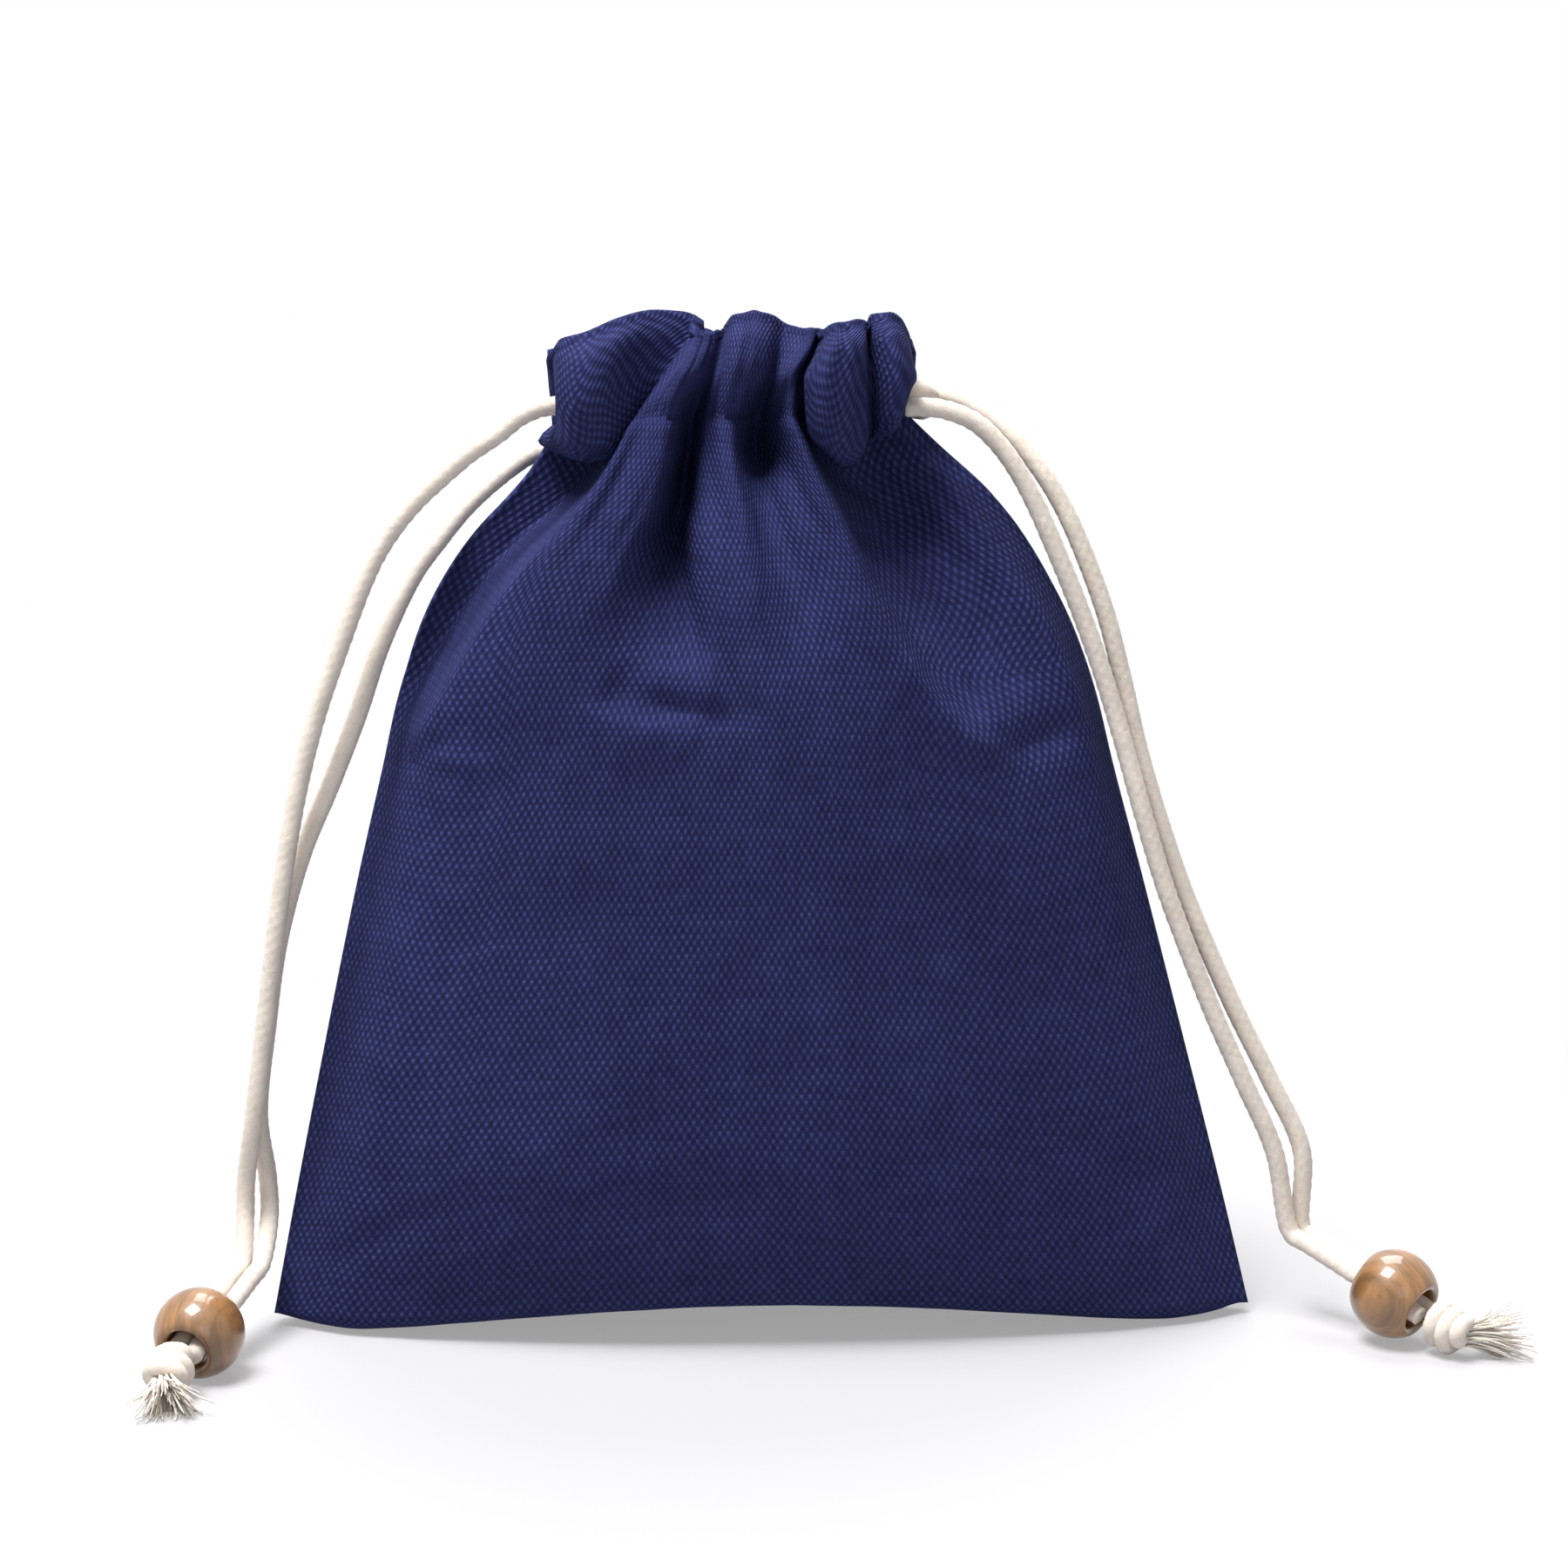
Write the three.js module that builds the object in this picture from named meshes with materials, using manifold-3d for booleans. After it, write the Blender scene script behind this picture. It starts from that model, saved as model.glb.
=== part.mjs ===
// Drawstring pouch of thick plain-woven cloth, drawn closed, with two cords and two wooden beads.
// Millimetres, +Z up, the pouch stands on the floor at Z = 0 and its front faces -Y.
import * as THREE from 'three';
import { mergeVertices } from 'three/addons/utils/BufferGeometryUtils.js';
import Module from 'manifold-3d';

const wasm = await Module();
wasm.setup();

// Cloth bag
const CLOTH = 1.0;            // thickness of the cloth
const SEAM_GAP = 0.3;         // between the two panels along the sewn edges
const BOTTOM_HALF_WIDTH = 64.8;
const BELLY_DEPTH = 22;       // how far each panel swells from the seam plane
const BASE_DEPTH = 6;         // half depth of the flattened bottom edge
const BASE_LIFT = 0.6;        // the bottom seam sits this far above the cloth beside it
const BOTTOM_ARCH = 4.2;      // the middle of the bottom edge is lifted between the two corners
const FOOT_INNER = 0.78;      // the cloth lies flat on the floor between these two shares of the
const FOOT_OUTER = 0.93;      // half width, at both corners
const FOOT_START = 2;         // and from this far out of the seam plane
const CORNER_LIFT = 1.2;      // the tips of the corners turn up a little

// Casing, the turned-over top edge that holds the cords
const CASING_SWELL = 3.6;     // half thickness of the puffed casing
const CASING_HEIGHT = 13.5;
const NECK_CENTRE = -4;       // the gathered neck leans a little to the left
const MOUTH_SIDE = 1.3;       // half gap between the two casings at their ends
const MOUTH_CROWN = 2.6;      // and how much further apart they are in the middle
const SLIT_DEPTH = 8;         // the side slits open over this height below the casing

// Cords
const CORD_DIAMETER = 2.4;
const CORD_SIDES = 8;
const CORD_STEP = 5.5;        // length of cord between two rings of the tube
const CORD_GAP = 0.3;         // between two pieces of cord that meet, or lie side by side
const LOW_LANE = 3.2;         // height of the lower cord over the casing's hem
const LANE_SPACING = 3.0;     // the two cords in one casing lie this far apart

// Beads, each with the two strands of one cord through it
const BEAD_DIAMETER = 11.5;
const BORE_CLEARANCE = 0.25;  // between the pair of strands and the bore
const BEAD_SIDES = 22;
const STRAIGHT_CORD = 16;     // straight stretch of the strands above a bead's centre
const PAIR_OFFSET = (CORD_DIAMETER + CORD_GAP) / 2;
const BORE_RADIUS = PAIR_OFFSET + CORD_DIAMETER / 2 + BORE_CLEARANCE;
const BEAD_HALF_LENGTH = Math.sqrt((BEAD_DIAMETER / 2) ** 2 - BORE_RADIUS ** 2);

// Knots and their frayed ends
const KNOT_GAP = 0.3;         // from the bead to the knot
const KNOT_TURNS = 3;
const KNOT_LENGTH = 5.4;
const KNOT_RADIUS = 3.2;
const FRAY_RADIUS = 2;

// Mesh density
const COLUMNS = 40;
const ROWS = 23;
const BAG_ROWS = 17;          // of these below the casing
const BORE_RING = 8;

// One row of numbers per feature: [value at, value] pairs, joined smoothly
function along(pairs, x) {
  if (x <= pairs[0][0]) {
    return pairs[0][1];
  }
  for (let i = 1; i < pairs.length; i += 1) {
    const [x1, v1] = pairs[i];
    if (x < x1) {
      const [x0, v0] = pairs[i - 1];
      return THREE.MathUtils.lerp(v0, v1, THREE.MathUtils.smoothstep(x, x0, x1));
    }
  }
  return pairs[pairs.length - 1][1];
}

// Half width of the bag at each height, as shares of the height below the neck
const NECK_HEIGHT = 119;
const NECK_HALF_WIDTH = 22.5;
const SHOULDER = [[0, 0], [0.05, 0.1], [0.12, 0.24], [0.2, 0.36], [0.3, 0.47], [0.4, 0.555],
  [0.55, 0.66], [0.75, 0.82], [0.9, 0.93], [1, 1]];

function halfWidth(z) {
  const below = (NECK_HEIGHT - z) / NECK_HEIGHT;
  const flare = linear(SHOULDER, below);
  return NECK_HALF_WIDTH + (BOTTOM_HALF_WIDTH - NECK_HALF_WIDTH) * flare;
}

function linear(pairs, x) {
  if (x <= pairs[0][0]) {
    return pairs[0][1];
  }
  for (let i = 1; i < pairs.length; i += 1) {
    if (x < pairs[i][0]) {
      const share = (x - pairs[i - 1][0]) / (pairs[i][0] - pairs[i - 1][0]);
      return THREE.MathUtils.lerp(pairs[i - 1][1], pairs[i][1], share);
    }
  }
  return pairs[pairs.length - 1][1];
}

function centreLine(z) {
  return NECK_CENTRE * along([[0, 0], [0.76, 0.45], [0.91, 0.45], [1, 1]], z / NECK_HEIGHT);
}

// Swell of a panel from the seam plane at the middle of the bag, as [share of the neck's height,
// share of the belly's depth]
const SWELL = [[0, 0.25], [0.05, 0.5], [0.12, 0.72], [0.24, 0.92], [0.42, 1], [0.69, 0.95],
  [0.84, 0.78], [0.92, 0.62], [1, 0.5]];

// The two panels. Places across a panel run from -1 at its left edge to 1 at its right edge.
// hem and rim are the lower and upper edge of the casing, over the neck and over the casing's height.
// A lobe is [place, width, height].
// A fold is a line down the bag at one place of the cloth: [share of the neck's height, share of
// the half width, rise]. The rise is a share of the belly's depth, and less than 0 where it is sunk.
const FRONT = {
  side: -1,
  hem: [[-1, -3.3], [-0.7, -3.8], [-0.45, -2.4], [-0.15, 0.4], [0.15, 0.4], [0.5, -2.8],
    [0.75, -1.4], [1, -1]],
  rim: [[-1, -4.5], [-0.85, -1.6], [-0.38, 0], [-0.14, -2.6], [0, 0], [0.16, -0.2], [0.3, -1.8],
    [0.5, -1.2], [0.7, 0], [0.85, -1.6], [1, -5]],
  lobes: [[-0.62, 0.26, 3.4], [-0.2, 0.09, -2.6], [-0.02, 0.13, 1.8], [0.17, 0.07, -2.2],
    [0.3, 0.08, 0.8], [0.42, 0.07, -1.4], [0.58, 0.12, 2.4], [0.78, 0.07, -1.6], [0.92, 0.1, 1.2]],
  folds: {
    leftHollow: [-0.86, [[0.5, -0.86, 0], [0.64, -0.91, 0], [0.67, -0.96, -0.1], [0.71, -0.95, -0.19],
      [0.77, -0.92, -0.27], [0.85, -0.865, -0.34], [0.91, -0.78, -0.36], [1, -0.7, -0.3]]],
    leftRidge: [-0.66, [[0.5, -0.7, 0], [0.62, -0.86, 0.02], [0.655, -0.93, 0.07], [0.7, -0.9, 0.14],
      [0.77, -0.835, 0.15], [0.85, -0.77, 0.16], [0.91, -0.67, 0.18], [1, -0.56, 0.1]]],
    leftPanel: [-0.42, [[0.5, -0.45, 0], [0.71, -0.56, 0.02], [0.85, -0.5, 0.01], [1, -0.43, 0]]],
    deepCrease: [-0.2, [[0.5, -0.21, 0], [0.67, -0.15, 0.02], [0.7, -0.13, -0.03],
      [0.77, -0.135, -0.12], [0.84, -0.165, -0.22], [0.89, -0.225, -0.34], [0.94, -0.3, -0.4],
      [1, -0.31, -0.3]]],
    middleRidge: [0, [[0.5, 0.02, 0], [0.77, 0.02, 0.02], [0.89, -0.02, 0.06], [1, -0.09, 0.03]]],
    smallPocket: [0.18, [[0.5, 0.2, 0], [0.77, 0.155, 0], [0.84, 0.11, -0.01], [0.89, 0.075, -0.07],
      [0.925, 0.06, -0.18], [0.965, 0.04, -0.3], [1, 0.08, -0.3]]],
    rightRidge: [0.4, [[0.5, 0.41, 0], [0.645, 0.62, 0.02], [0.72, 0.48, 0.06], [0.79, 0.4, 0.07],
      [0.86, 0.33, 0.08], [0.925, 0.25, 0.08], [1, 0.29, 0.06]]],
    rightHollow: [0.7, [[0.5, 0.69, 0], [0.62, 0.81, 0], [0.66, 0.81, -0.03], [0.71, 0.725, -0.1],
      [0.77, 0.685, -0.2], [0.84, 0.63, -0.27], [0.91, 0.57, -0.32], [1, 0.65, -0.34]]],
    rightSide: [0.87, [[0.5, 0.865, 0], [0.62, 0.925, 0], [0.77, 0.905, -0.03], [0.91, 0.84, -0.06],
      [1, 0.87, -0.1]]],
  },
};

const BACK = {
  side: 1,
  hem: [[-1, -6.8], [-0.7, -3], [-0.3, 0], [0.5, -0.4], [1, -2.6]],
  rim: [[-1, -8], [-0.8, -3], [-0.5, 0], [-0.2, -1.6], [0.1, 0], [0.4, -1.8], [0.65, -0.4],
    [0.85, -1.4], [1, -4.5]],
  lobes: gathers(5, 2.6, 0.12),
  folds: evenFolds([-0.84, -0.62, -0.42, -0.2, 0, 0.2, 0.42, 0.62, 0.84]),
};

// Folds at even places, sunk and standing out in turn, that fade out down the bag
function evenFolds(places) {
  const folds = {};
  places.forEach((place, i) => {
    const rise = i % 2 === 0 ? -0.26 : 0.1;
    folds[`fold${i}`] = [place, [[0.5, place, 0], [0.68 + 0.03 * (i % 3), place * 0.98, 0],
      [0.82, place * 0.95, rise * 0.4], [0.92, place * 0.92, rise], [1, place * 0.9, rise]]];
  });
  return folds;
}

// Even gathers: lobes that stand out with creases between them
function gathers(count, height, width) {
  const lobes = [];
  for (let i = 0; i < count; i += 1) {
    const place = -0.8 + (1.6 * i) / (count - 1);
    lobes.push([place, width, height]);
    if (i < count - 1) {
      lobes.push([place + 0.8 / (count - 1), width * 0.6, -height * 0.7]);
    }
  }
  return lobes;
}

function bump(distance, width) {
  return Math.exp(-((distance / width) ** 2));
}

// Lower edge of the bag: it stands on two flat feet, the middle is lifted, the corner tips turn up
function bottomEdge(place) {
  const share = Math.abs(place);
  if (share < FOOT_INNER) {
    return BOTTOM_ARCH * (1 - (share / FOOT_INNER) ** 2) ** 1.5;
  }
  return CORNER_LIFT * (Math.max(0, share - FOOT_OUTER) / (1 - FOOT_OUTER)) ** 2;
}

function hemHeight(panel, place) {
  return NECK_HEIGHT + along(panel.hem, place);
}

function rimHeight(panel, place) {
  return NECK_HEIGHT + CASING_HEIGHT + along(panel.rim, place);
}

// How far the unfolded bag stands from the seam plane at a share of its half width
function bagDepth(across, z) {
  const crown = Math.sqrt(Math.max(0, 1 - across * across));
  const slit = THREE.MathUtils.smoothstep(z, NECK_HEIGHT - SLIT_DEPTH, NECK_HEIGHT);
  const swell = BELLY_DEPTH * smoothLine(SWELL, z / NECK_HEIGHT)[0];
  return SEAM_GAP / 2 + CLOTH + slit * MOUTH_SIDE + swell * crown;
}

// The folds of a panel where they cross one height, with its two edges: [place, across, depth]
function foldPoints(panel, z) {
  const height = z / NECK_HEIGHT;
  const spread = THREE.MathUtils.smoothstep(height, 0.1, 0.5);
  const crossing = Object.values(panel.folds).map(([place, path]) => {
    const across = smoothLine(path.map(([h, a]) => [h, a]), height)[0];
    const rise = smoothLine(path.map(([h, , r]) => [h, r]), height)[0];
    const spot = THREE.MathUtils.lerp(place, across, spread);
    return [place, spot, bagDepth(spot, z) + rise * BELLY_DEPTH];
  });
  return [[-1, -1, bagDepth(1, z)], ...crossing, [1, 1, bagDepth(1, z)]];
}

// A smooth line through [key, value, value] points, held at its first and last point
function smoothLine(points, key) {
  const last = points.length - 1;
  if (key <= points[0][0]) {
    return points[0].slice(1);
  }
  if (key >= points[last][0]) {
    return points[last].slice(1);
  }
  const i = points.findIndex((point) => point[0] > key);
  const [before, start, end, after] = [i - 2, i - 1, i, i + 1].map((j) => (
    points[THREE.MathUtils.clamp(j, 0, last)]));
  const span = end[0] - start[0];
  const t = (key - start[0]) / span;
  return start.slice(1).map((from, axis) => {
    const to = end[axis + 1];
    const slopeFrom = (to - before[axis + 1]) / (end[0] - before[0]) * span;
    const slopeTo = (after[axis + 1] - from) / (after[0] - start[0]) * span;
    return (2 * t ** 3 - 3 * t ** 2 + 1) * from + (t ** 3 - 2 * t ** 2 + t) * slopeFrom
      + (3 * t ** 2 - 2 * t ** 3) * to + (t ** 3 - t ** 2) * slopeTo;
  });
}

// Share of the half width and depth of a panel's outer face below the casing
function foldedBag(panel, place, z) {
  const [across, depth] = smoothLine(foldPoints(panel, z), place);
  return [across, Math.max(depth, SEAM_GAP / 2 + CLOTH)];
}

function lobeHeight(panel, place) {
  return panel.lobes.reduce((sum, [at, width, height]) => sum + height * bump(place - at, width), 0);
}

// Inner and outer face of the casing, as distances from the seam plane
function casingFaces(panel, place, z) {
  const hem = hemHeight(panel, place);
  const share = THREE.MathUtils.clamp((z - hem) / (rimHeight(panel, place) - hem), 0, 1);
  const swell = Math.max(CLOTH / 2, CASING_SWELL * (1 - Math.abs(2 * share - 1) ** 4) ** 0.25);
  const crown = Math.sqrt(Math.max(0, 1 - Math.min(1, place * place)));
  const wave = lobeHeight(panel, place);
  const middle = MOUTH_SIDE + MOUTH_CROWN * crown + CASING_SWELL + 0.55 * wave;
  const outer = middle + swell + 0.45 * wave * swell / CASING_SWELL;
  const inner = Math.max(middle - swell, MOUTH_SIDE + 0.8 * MOUTH_CROWN * crown);
  return { inner, outer, middle };
}

// One point pair of the panel: its outer and inner face at a place and a row
function panelPair(panel, place, row) {
  const low = bottomEdge(place);
  const hem = hemHeight(panel, place);
  const rim = rimHeight(panel, place);
  const roundness = Math.sqrt(Math.max(0, 1 - place ** 6));
  let z;
  let outer;
  let inner;
  let innerZ;
  let across = place;
  if (row === 0) {
    z = low + BASE_LIFT;
    innerZ = z + CLOTH;
    outer = SEAM_GAP / 2;
    inner = SEAM_GAP / 2;
  } else if (row <= 2) {
    z = low;
    innerZ = z + CLOTH;
    outer = Math.max(SEAM_GAP / 2 + CLOTH * row * 0.6, (row === 1 ? FOOT_START : BASE_DEPTH) * roundness);
    inner = outer - CLOTH / 2;
  } else if (row <= BAG_ROWS) {
    const share = ((row - 2) / (BAG_ROWS - 2)) ** 0.75;
    z = THREE.MathUtils.lerp(low, hem, share);
    innerZ = z + CLOTH * (1 - share) * 0.4;
    const toCasing = THREE.MathUtils.smoothstep(z, hem - 7, hem);
    const [folded, depth] = foldedBag(panel, place, z);
    across = THREE.MathUtils.lerp(folded, place, toCasing);
    const bag = Math.max(depth, BASE_DEPTH * roundness * (row < 5));
    outer = THREE.MathUtils.lerp(bag, casingFaces(panel, place, hem).outer, toCasing);
    inner = Math.max(SEAM_GAP / 2, outer - CLOTH);
  } else {
    const share = (row - BAG_ROWS) / (ROWS - BAG_ROWS);
    z = THREE.MathUtils.lerp(hem, rim, 0.5 - 0.5 * Math.cos(Math.PI * share) * (1 - 0.12 * share));
    z = Math.min(z, rim);
    innerZ = z;
    const faces = casingFaces(panel, place, z);
    outer = faces.outer;
    inner = faces.inner;
  }
  const x = centreLine(z) + across * halfWidth(Math.min(z, NECK_HEIGHT));
  return [[x, panel.side * outer, z], [x, panel.side * inner, innerZ]];
}

// A closed sheet from two faces that share a grid: faces[column][row] = [outer, inner]
function sheetGeometry(pairs, flip) {
  const columns = pairs.length;
  const rows = pairs[0].length;
  const position = [];
  pairs.flat().forEach(([outer, inner]) => position.push(...outer, ...inner));
  const at = (column, row, face) => 2 * (column * rows + row) + face;
  const index = [];
  const quad = (a, b, c, d) => (flip ? index.push(a, c, b, a, d, c) : index.push(a, b, c, a, c, d));
  for (let i = 0; i < columns - 1; i += 1) {
    for (let j = 0; j < rows - 1; j += 1) {
      quad(at(i, j, 0), at(i + 1, j, 0), at(i + 1, j + 1, 0), at(i, j + 1, 0));
      quad(at(i, j + 1, 1), at(i + 1, j + 1, 1), at(i + 1, j, 1), at(i, j, 1));
    }
    quad(at(i, 0, 1), at(i + 1, 0, 1), at(i + 1, 0, 0), at(i, 0, 0));
    quad(at(i, rows - 1, 0), at(i + 1, rows - 1, 0), at(i + 1, rows - 1, 1), at(i, rows - 1, 1));
  }
  for (let j = 0; j < rows - 1; j += 1) {
    quad(at(0, j, 1), at(0, j, 0), at(0, j + 1, 0), at(0, j + 1, 1));
    quad(at(columns - 1, j, 0), at(columns - 1, j, 1), at(columns - 1, j + 1, 1), at(columns - 1, j + 1, 0));
  }
  return indexed(position, index);
}

function indexed(position, index) {
  const geometry = new THREE.BufferGeometry();
  geometry.setAttribute('position', new THREE.Float32BufferAttribute(position, 3));
  geometry.setIndex(index);
  return geometry;
}

function toSolid(geometry) {
  const bare = geometry.clone();
  bare.deleteAttribute('normal');
  bare.deleteAttribute('uv');
  const merged = mergeVertices(bare, 1e-4);
  return new wasm.Manifold(new wasm.Mesh({
    numProp: 3,
    vertProperties: merged.attributes.position.array,
    triVerts: new Uint32Array(merged.index.array),
  }));
}

function toGeometry(solid) {
  const mesh = solid.getMesh();
  return indexed(Array.from(mesh.vertProperties), Array.from(mesh.triVerts));
}

// The tunnel through a casing: rings around its middle from past one end to past the other
function channelGeometry(panel) {
  const rings = [];
  for (let i = 0; i <= COLUMNS; i += 1) {
    const place = THREE.MathUtils.lerp(-1, 1, i / COLUMNS);
    rings.push(channelRing(panel, place, 0));
  }
  rings.unshift(channelRing(panel, -1, -2));
  rings.push(channelRing(panel, 1, 2));
  const position = rings.flat(2);
  const index = [];
  for (let i = 0; i < rings.length - 1; i += 1) {
    for (let j = 0; j < BORE_RING; j += 1) {
      const a = i * BORE_RING + j;
      const b = i * BORE_RING + ((j + 1) % BORE_RING);
      index.push(a, a + BORE_RING, b, b, a + BORE_RING, b + BORE_RING);
    }
  }
  const last = (rings.length - 1) * BORE_RING;
  for (let j = 1; j < BORE_RING - 1; j += 1) {
    index.push(0, j, j + 1, last, last + j + 1, last + j);
  }
  if (panel.side > 0) {
    index.reverse();
  }
  return indexed(position, index);
}

function channelRing(panel, place, past) {
  const low = hemHeight(panel, place) + CLOTH;
  const high = rimHeight(panel, place) - CLOTH * 1.2;
  const ring = [];
  for (let j = 0; j < BORE_RING; j += 1) {
    const angle = (2 * Math.PI * (j + 0.5)) / BORE_RING;
    const up = Math.sin(angle) / Math.sin((2 * Math.PI * 1.5) / BORE_RING);
    const z = THREE.MathUtils.lerp(low, high, 0.5 + 0.5 * THREE.MathUtils.clamp(up, -1, 1));
    const faces = casingFaces(panel, place, z);
    const outward = Math.cos(angle) > 0;
    const wall = Math.abs(Math.cos(angle)) < 0.5 ? CLOTH * 1.5 : CLOTH;
    const depth = outward ? faces.outer - wall : faces.inner + wall;
    ring.push([centreLine(z) + place * halfWidth(NECK_HEIGHT) + past, panel.side * depth, z]);
  }
  return ring;
}

// A panel is a sheet with the channel, and room for its cords, cut through its casing
function panelGeometry(panel, cordsInside) {
  const pairs = [];
  for (let i = 0; i <= COLUMNS; i += 1) {
    const place = THREE.MathUtils.lerp(-1, 1, i / COLUMNS);
    const column = [];
    for (let row = 0; row <= ROWS; row += 1) {
      column.push(panelPair(panel, place, row));
    }
    pairs.push(column);
  }
  const sheet = toSolid(sheetGeometry(pairs, panel.side > 0));
  let hollow = sheet.subtract(toSolid(channelGeometry(panel)));
  for (const points of cordsInside) {
    hollow = hollow.subtract(toSolid(cordGeometry(points, CORD_DIAMETER / 2 + CORD_GAP)));
  }
  return toGeometry(hollow);
}

// Cords
function vector([x, y, z]) {
  return new THREE.Vector3(x, y, z);
}

// A round cord along a smooth curve through its points
function cordGeometry(points, radius = CORD_DIAMETER / 2) {
  const curve = new THREE.CatmullRomCurve3(points, false, 'centripetal');
  const corners = [];
  for (let i = 0; i < CORD_SIDES; i += 1) {
    const angle = (2 * Math.PI * i) / CORD_SIDES;
    corners.push(new THREE.Vector2(radius * Math.cos(angle), radius * Math.sin(angle)));
  }
  const section = new THREE.Shape(corners);
  const steps = Math.ceil(curve.getLength() / CORD_STEP);
  return new THREE.ExtrudeGeometry(section, { steps, bevelEnabled: false, extrudePath: curve });
}

// A bead's place on its cord: its centre, the way the cord leaves it towards the knot, and where
// the frayed ends go from the knot. The left bead lies on the floor, the right one on its knot.
const LEFT_BEAD = {
  centre: vector([-71.9, -25.1, BEAD_DIAMETER / 2]),
  way: vector([-0.32, -0.91, -0.26]).normalize(),
  fray: vector([1.4, -6.6, -0.8]),
};
const RIGHT_BEAD = {
  centre: vector([81.4, -17.7, BEAD_DIAMETER / 2 + 0.75]),
  way: vector([0.68, -0.64, -0.33]).normalize(),
  fray: vector([7.6, 1.6, 0.5]),
};

function strandThroughBead(bead, sideSign) {
  const across = bead.way.clone().cross(vector([0, 0, 1])).normalize();
  const end = BEAD_HALF_LENGTH + KNOT_GAP / 2;
  const places = [-STRAIGHT_CORD, 2.5 - STRAIGHT_CORD, -10, -5, 0, end];
  return places.map((place) => bead.centre.clone()
    .addScaledVector(bead.way, place)
    .addScaledVector(across, sideSign * PAIR_OFFSET));
}

// The free strands, from the end of the casing down to the straight stretch above the bead
const LEFT_FRONT_ROUTE = [[-25, -8, 121], [-27.8, -8.5, 120.8], [-30.4, -9, 119.8], [-33.6, -9.5, 117.4],
  [-36.8, -10, 115.3], [-39.7, -10, 112.9], [-44.2, -10, 108.7], [-47.7, -10, 104.2], [-50, -10, 100],
  [-53.5, -10, 91.1], [-56.7, -9.5, 82.2], [-59.2, -9, 73.1], [-61, -9, 64.1], [-62.8, -9, 52.7],
  [-64.4, -9, 41.2], [-66.1, -8.5, 29.5], [-67.6, -6.6, 20], [-67.8, -6.8, 15]];
const LEFT_BACK_ROUTE = [[-26.2, 5.4, 114.4], [-29.5, 4.4, 113.7], [-32.9, 2, 111.7], [-37.7, -1, 107.7],
  [-41.3, -3, 103.5], [-44.5, -4, 99.2], [-48.7, -5.5, 90.5], [-51.8, -6.3, 81.6], [-55.4, -6.3, 72.6],
  [-59.3, -6.2, 63.5], [-62.6, -6.2, 52], [-64.4, -6.2, 40.5], [-65.8, -5.6, 28.7], [-65, -4.4, 20],
  [-64.8, -5.2, 15]];
const RIGHT_FRONT_ROUTE = [[18, -7, 120.6], [22.4, -7.5, 120.4], [26.6, -7.5, 118.8], [29.7, -7.5, 116],
  [32.2, -7.5, 112.6], [34.6, -7.5, 108.2], [36.6, -7.5, 103.8], [40.4, -7.3, 94.8], [43.7, -7.3, 85.8],
  [46.5, -7.5, 76.7], [49.1, -8, 67.6], [52, -8, 58.4], [54.8, -8, 51], [58.4, -8, 42.1],
  [62.7, -8, 32.6], [67, -8, 23]];
const RIGHT_BACK_ROUTE = [[18.7, 4, 121.7], [23.6, 2, 121.6], [28, -0.6, 119.8], [32, -2.8, 116.6],
  [35.6, -4, 112.2], [38.3, -4.4, 107.8], [40.4, -4.6, 103.4], [43.9, -4.6, 94.4], [46.4, -4.6, 85.3],
  [48.6, -4.8, 76.2], [51.4, -5, 67], [54.7, -5, 57.7], [57.6, -5.2, 50.8], [61.9, -5.4, 41.4],
  [66.6, -5.6, 32.1], [71, -6, 22.5]];

// The same cords inside the casings, each all the way round and back out on its own side.
// A lane is the height over the hem. Turns are the short loops where a cord crosses from the
// front casing to the back one at the far side slit.
const LEFT_CORD_TURN = [[19.2, -5.6, 123.4], [21.2, -3.2, 121.9], [21.4, -0.6, 119.8], [20.6, 2.4, 118.6]];
const RIGHT_CORD_TURN = [[-27.6, -5.4, 117.8], [-30.2, -2.8, 117.6], [-30.4, 1.4, 117.4], [-28.8, 4.6, 117.2]];

function lanePoints(panel, lane, from, to) {
  const count = 9;
  const points = [];
  for (let i = 0; i <= count; i += 1) {
    const place = THREE.MathUtils.lerp(from, to, i / count);
    const z = hemHeight(panel, place) + lane;
    const { middle } = casingFaces(panel, place, z);
    points.push(vector([centreLine(z) + place * halfWidth(NECK_HEIGHT), panel.side * middle, z]));
  }
  return points;
}

// Where a cord in a casing meets its free strand: face to face with a gap, and in one line
function leadIn(route) {
  const towards = vector(route[0]).sub(vector(route[1])).normalize();
  const lead = 2;
  return [lead, 0].map((more) => vector(route[0]).addScaledVector(towards, CORD_GAP + more));
}

function casingCordPoints(frontRoute, backRoute, frontLane, backLane, turn, startSide) {
  const inner = 0.78;
  return [
    ...leadIn(frontRoute).reverse(),
    ...lanePoints(FRONT, frontLane, startSide * inner, -startSide * inner),
    ...turn.map(vector),
    ...lanePoints(BACK, backLane, -startSide * inner, startSide * inner),
    ...leadIn(backRoute),
  ];
}

// Beads: a turned ball with a rounded bore, along its own Y axis
function beadGeometry() {
  const radius = BEAD_DIAMETER / 2;
  const mouthRound = 0.5;
  const profile = [];
  const start = Math.asin((BORE_RADIUS + mouthRound) / radius);
  const arcs = 9;
  profile.push(new THREE.Vector2(BORE_RADIUS, -BEAD_HALF_LENGTH + mouthRound));
  for (let i = 0; i <= arcs; i += 1) {
    const angle = THREE.MathUtils.lerp(start, Math.PI - start, i / arcs);
    profile.push(new THREE.Vector2(radius * Math.sin(angle), -radius * Math.cos(angle)));
  }
  profile.push(new THREE.Vector2(BORE_RADIUS, BEAD_HALF_LENGTH - mouthRound));
  profile.push(profile[0].clone());
  return new THREE.LatheGeometry(profile, BEAD_SIDES);
}

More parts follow.
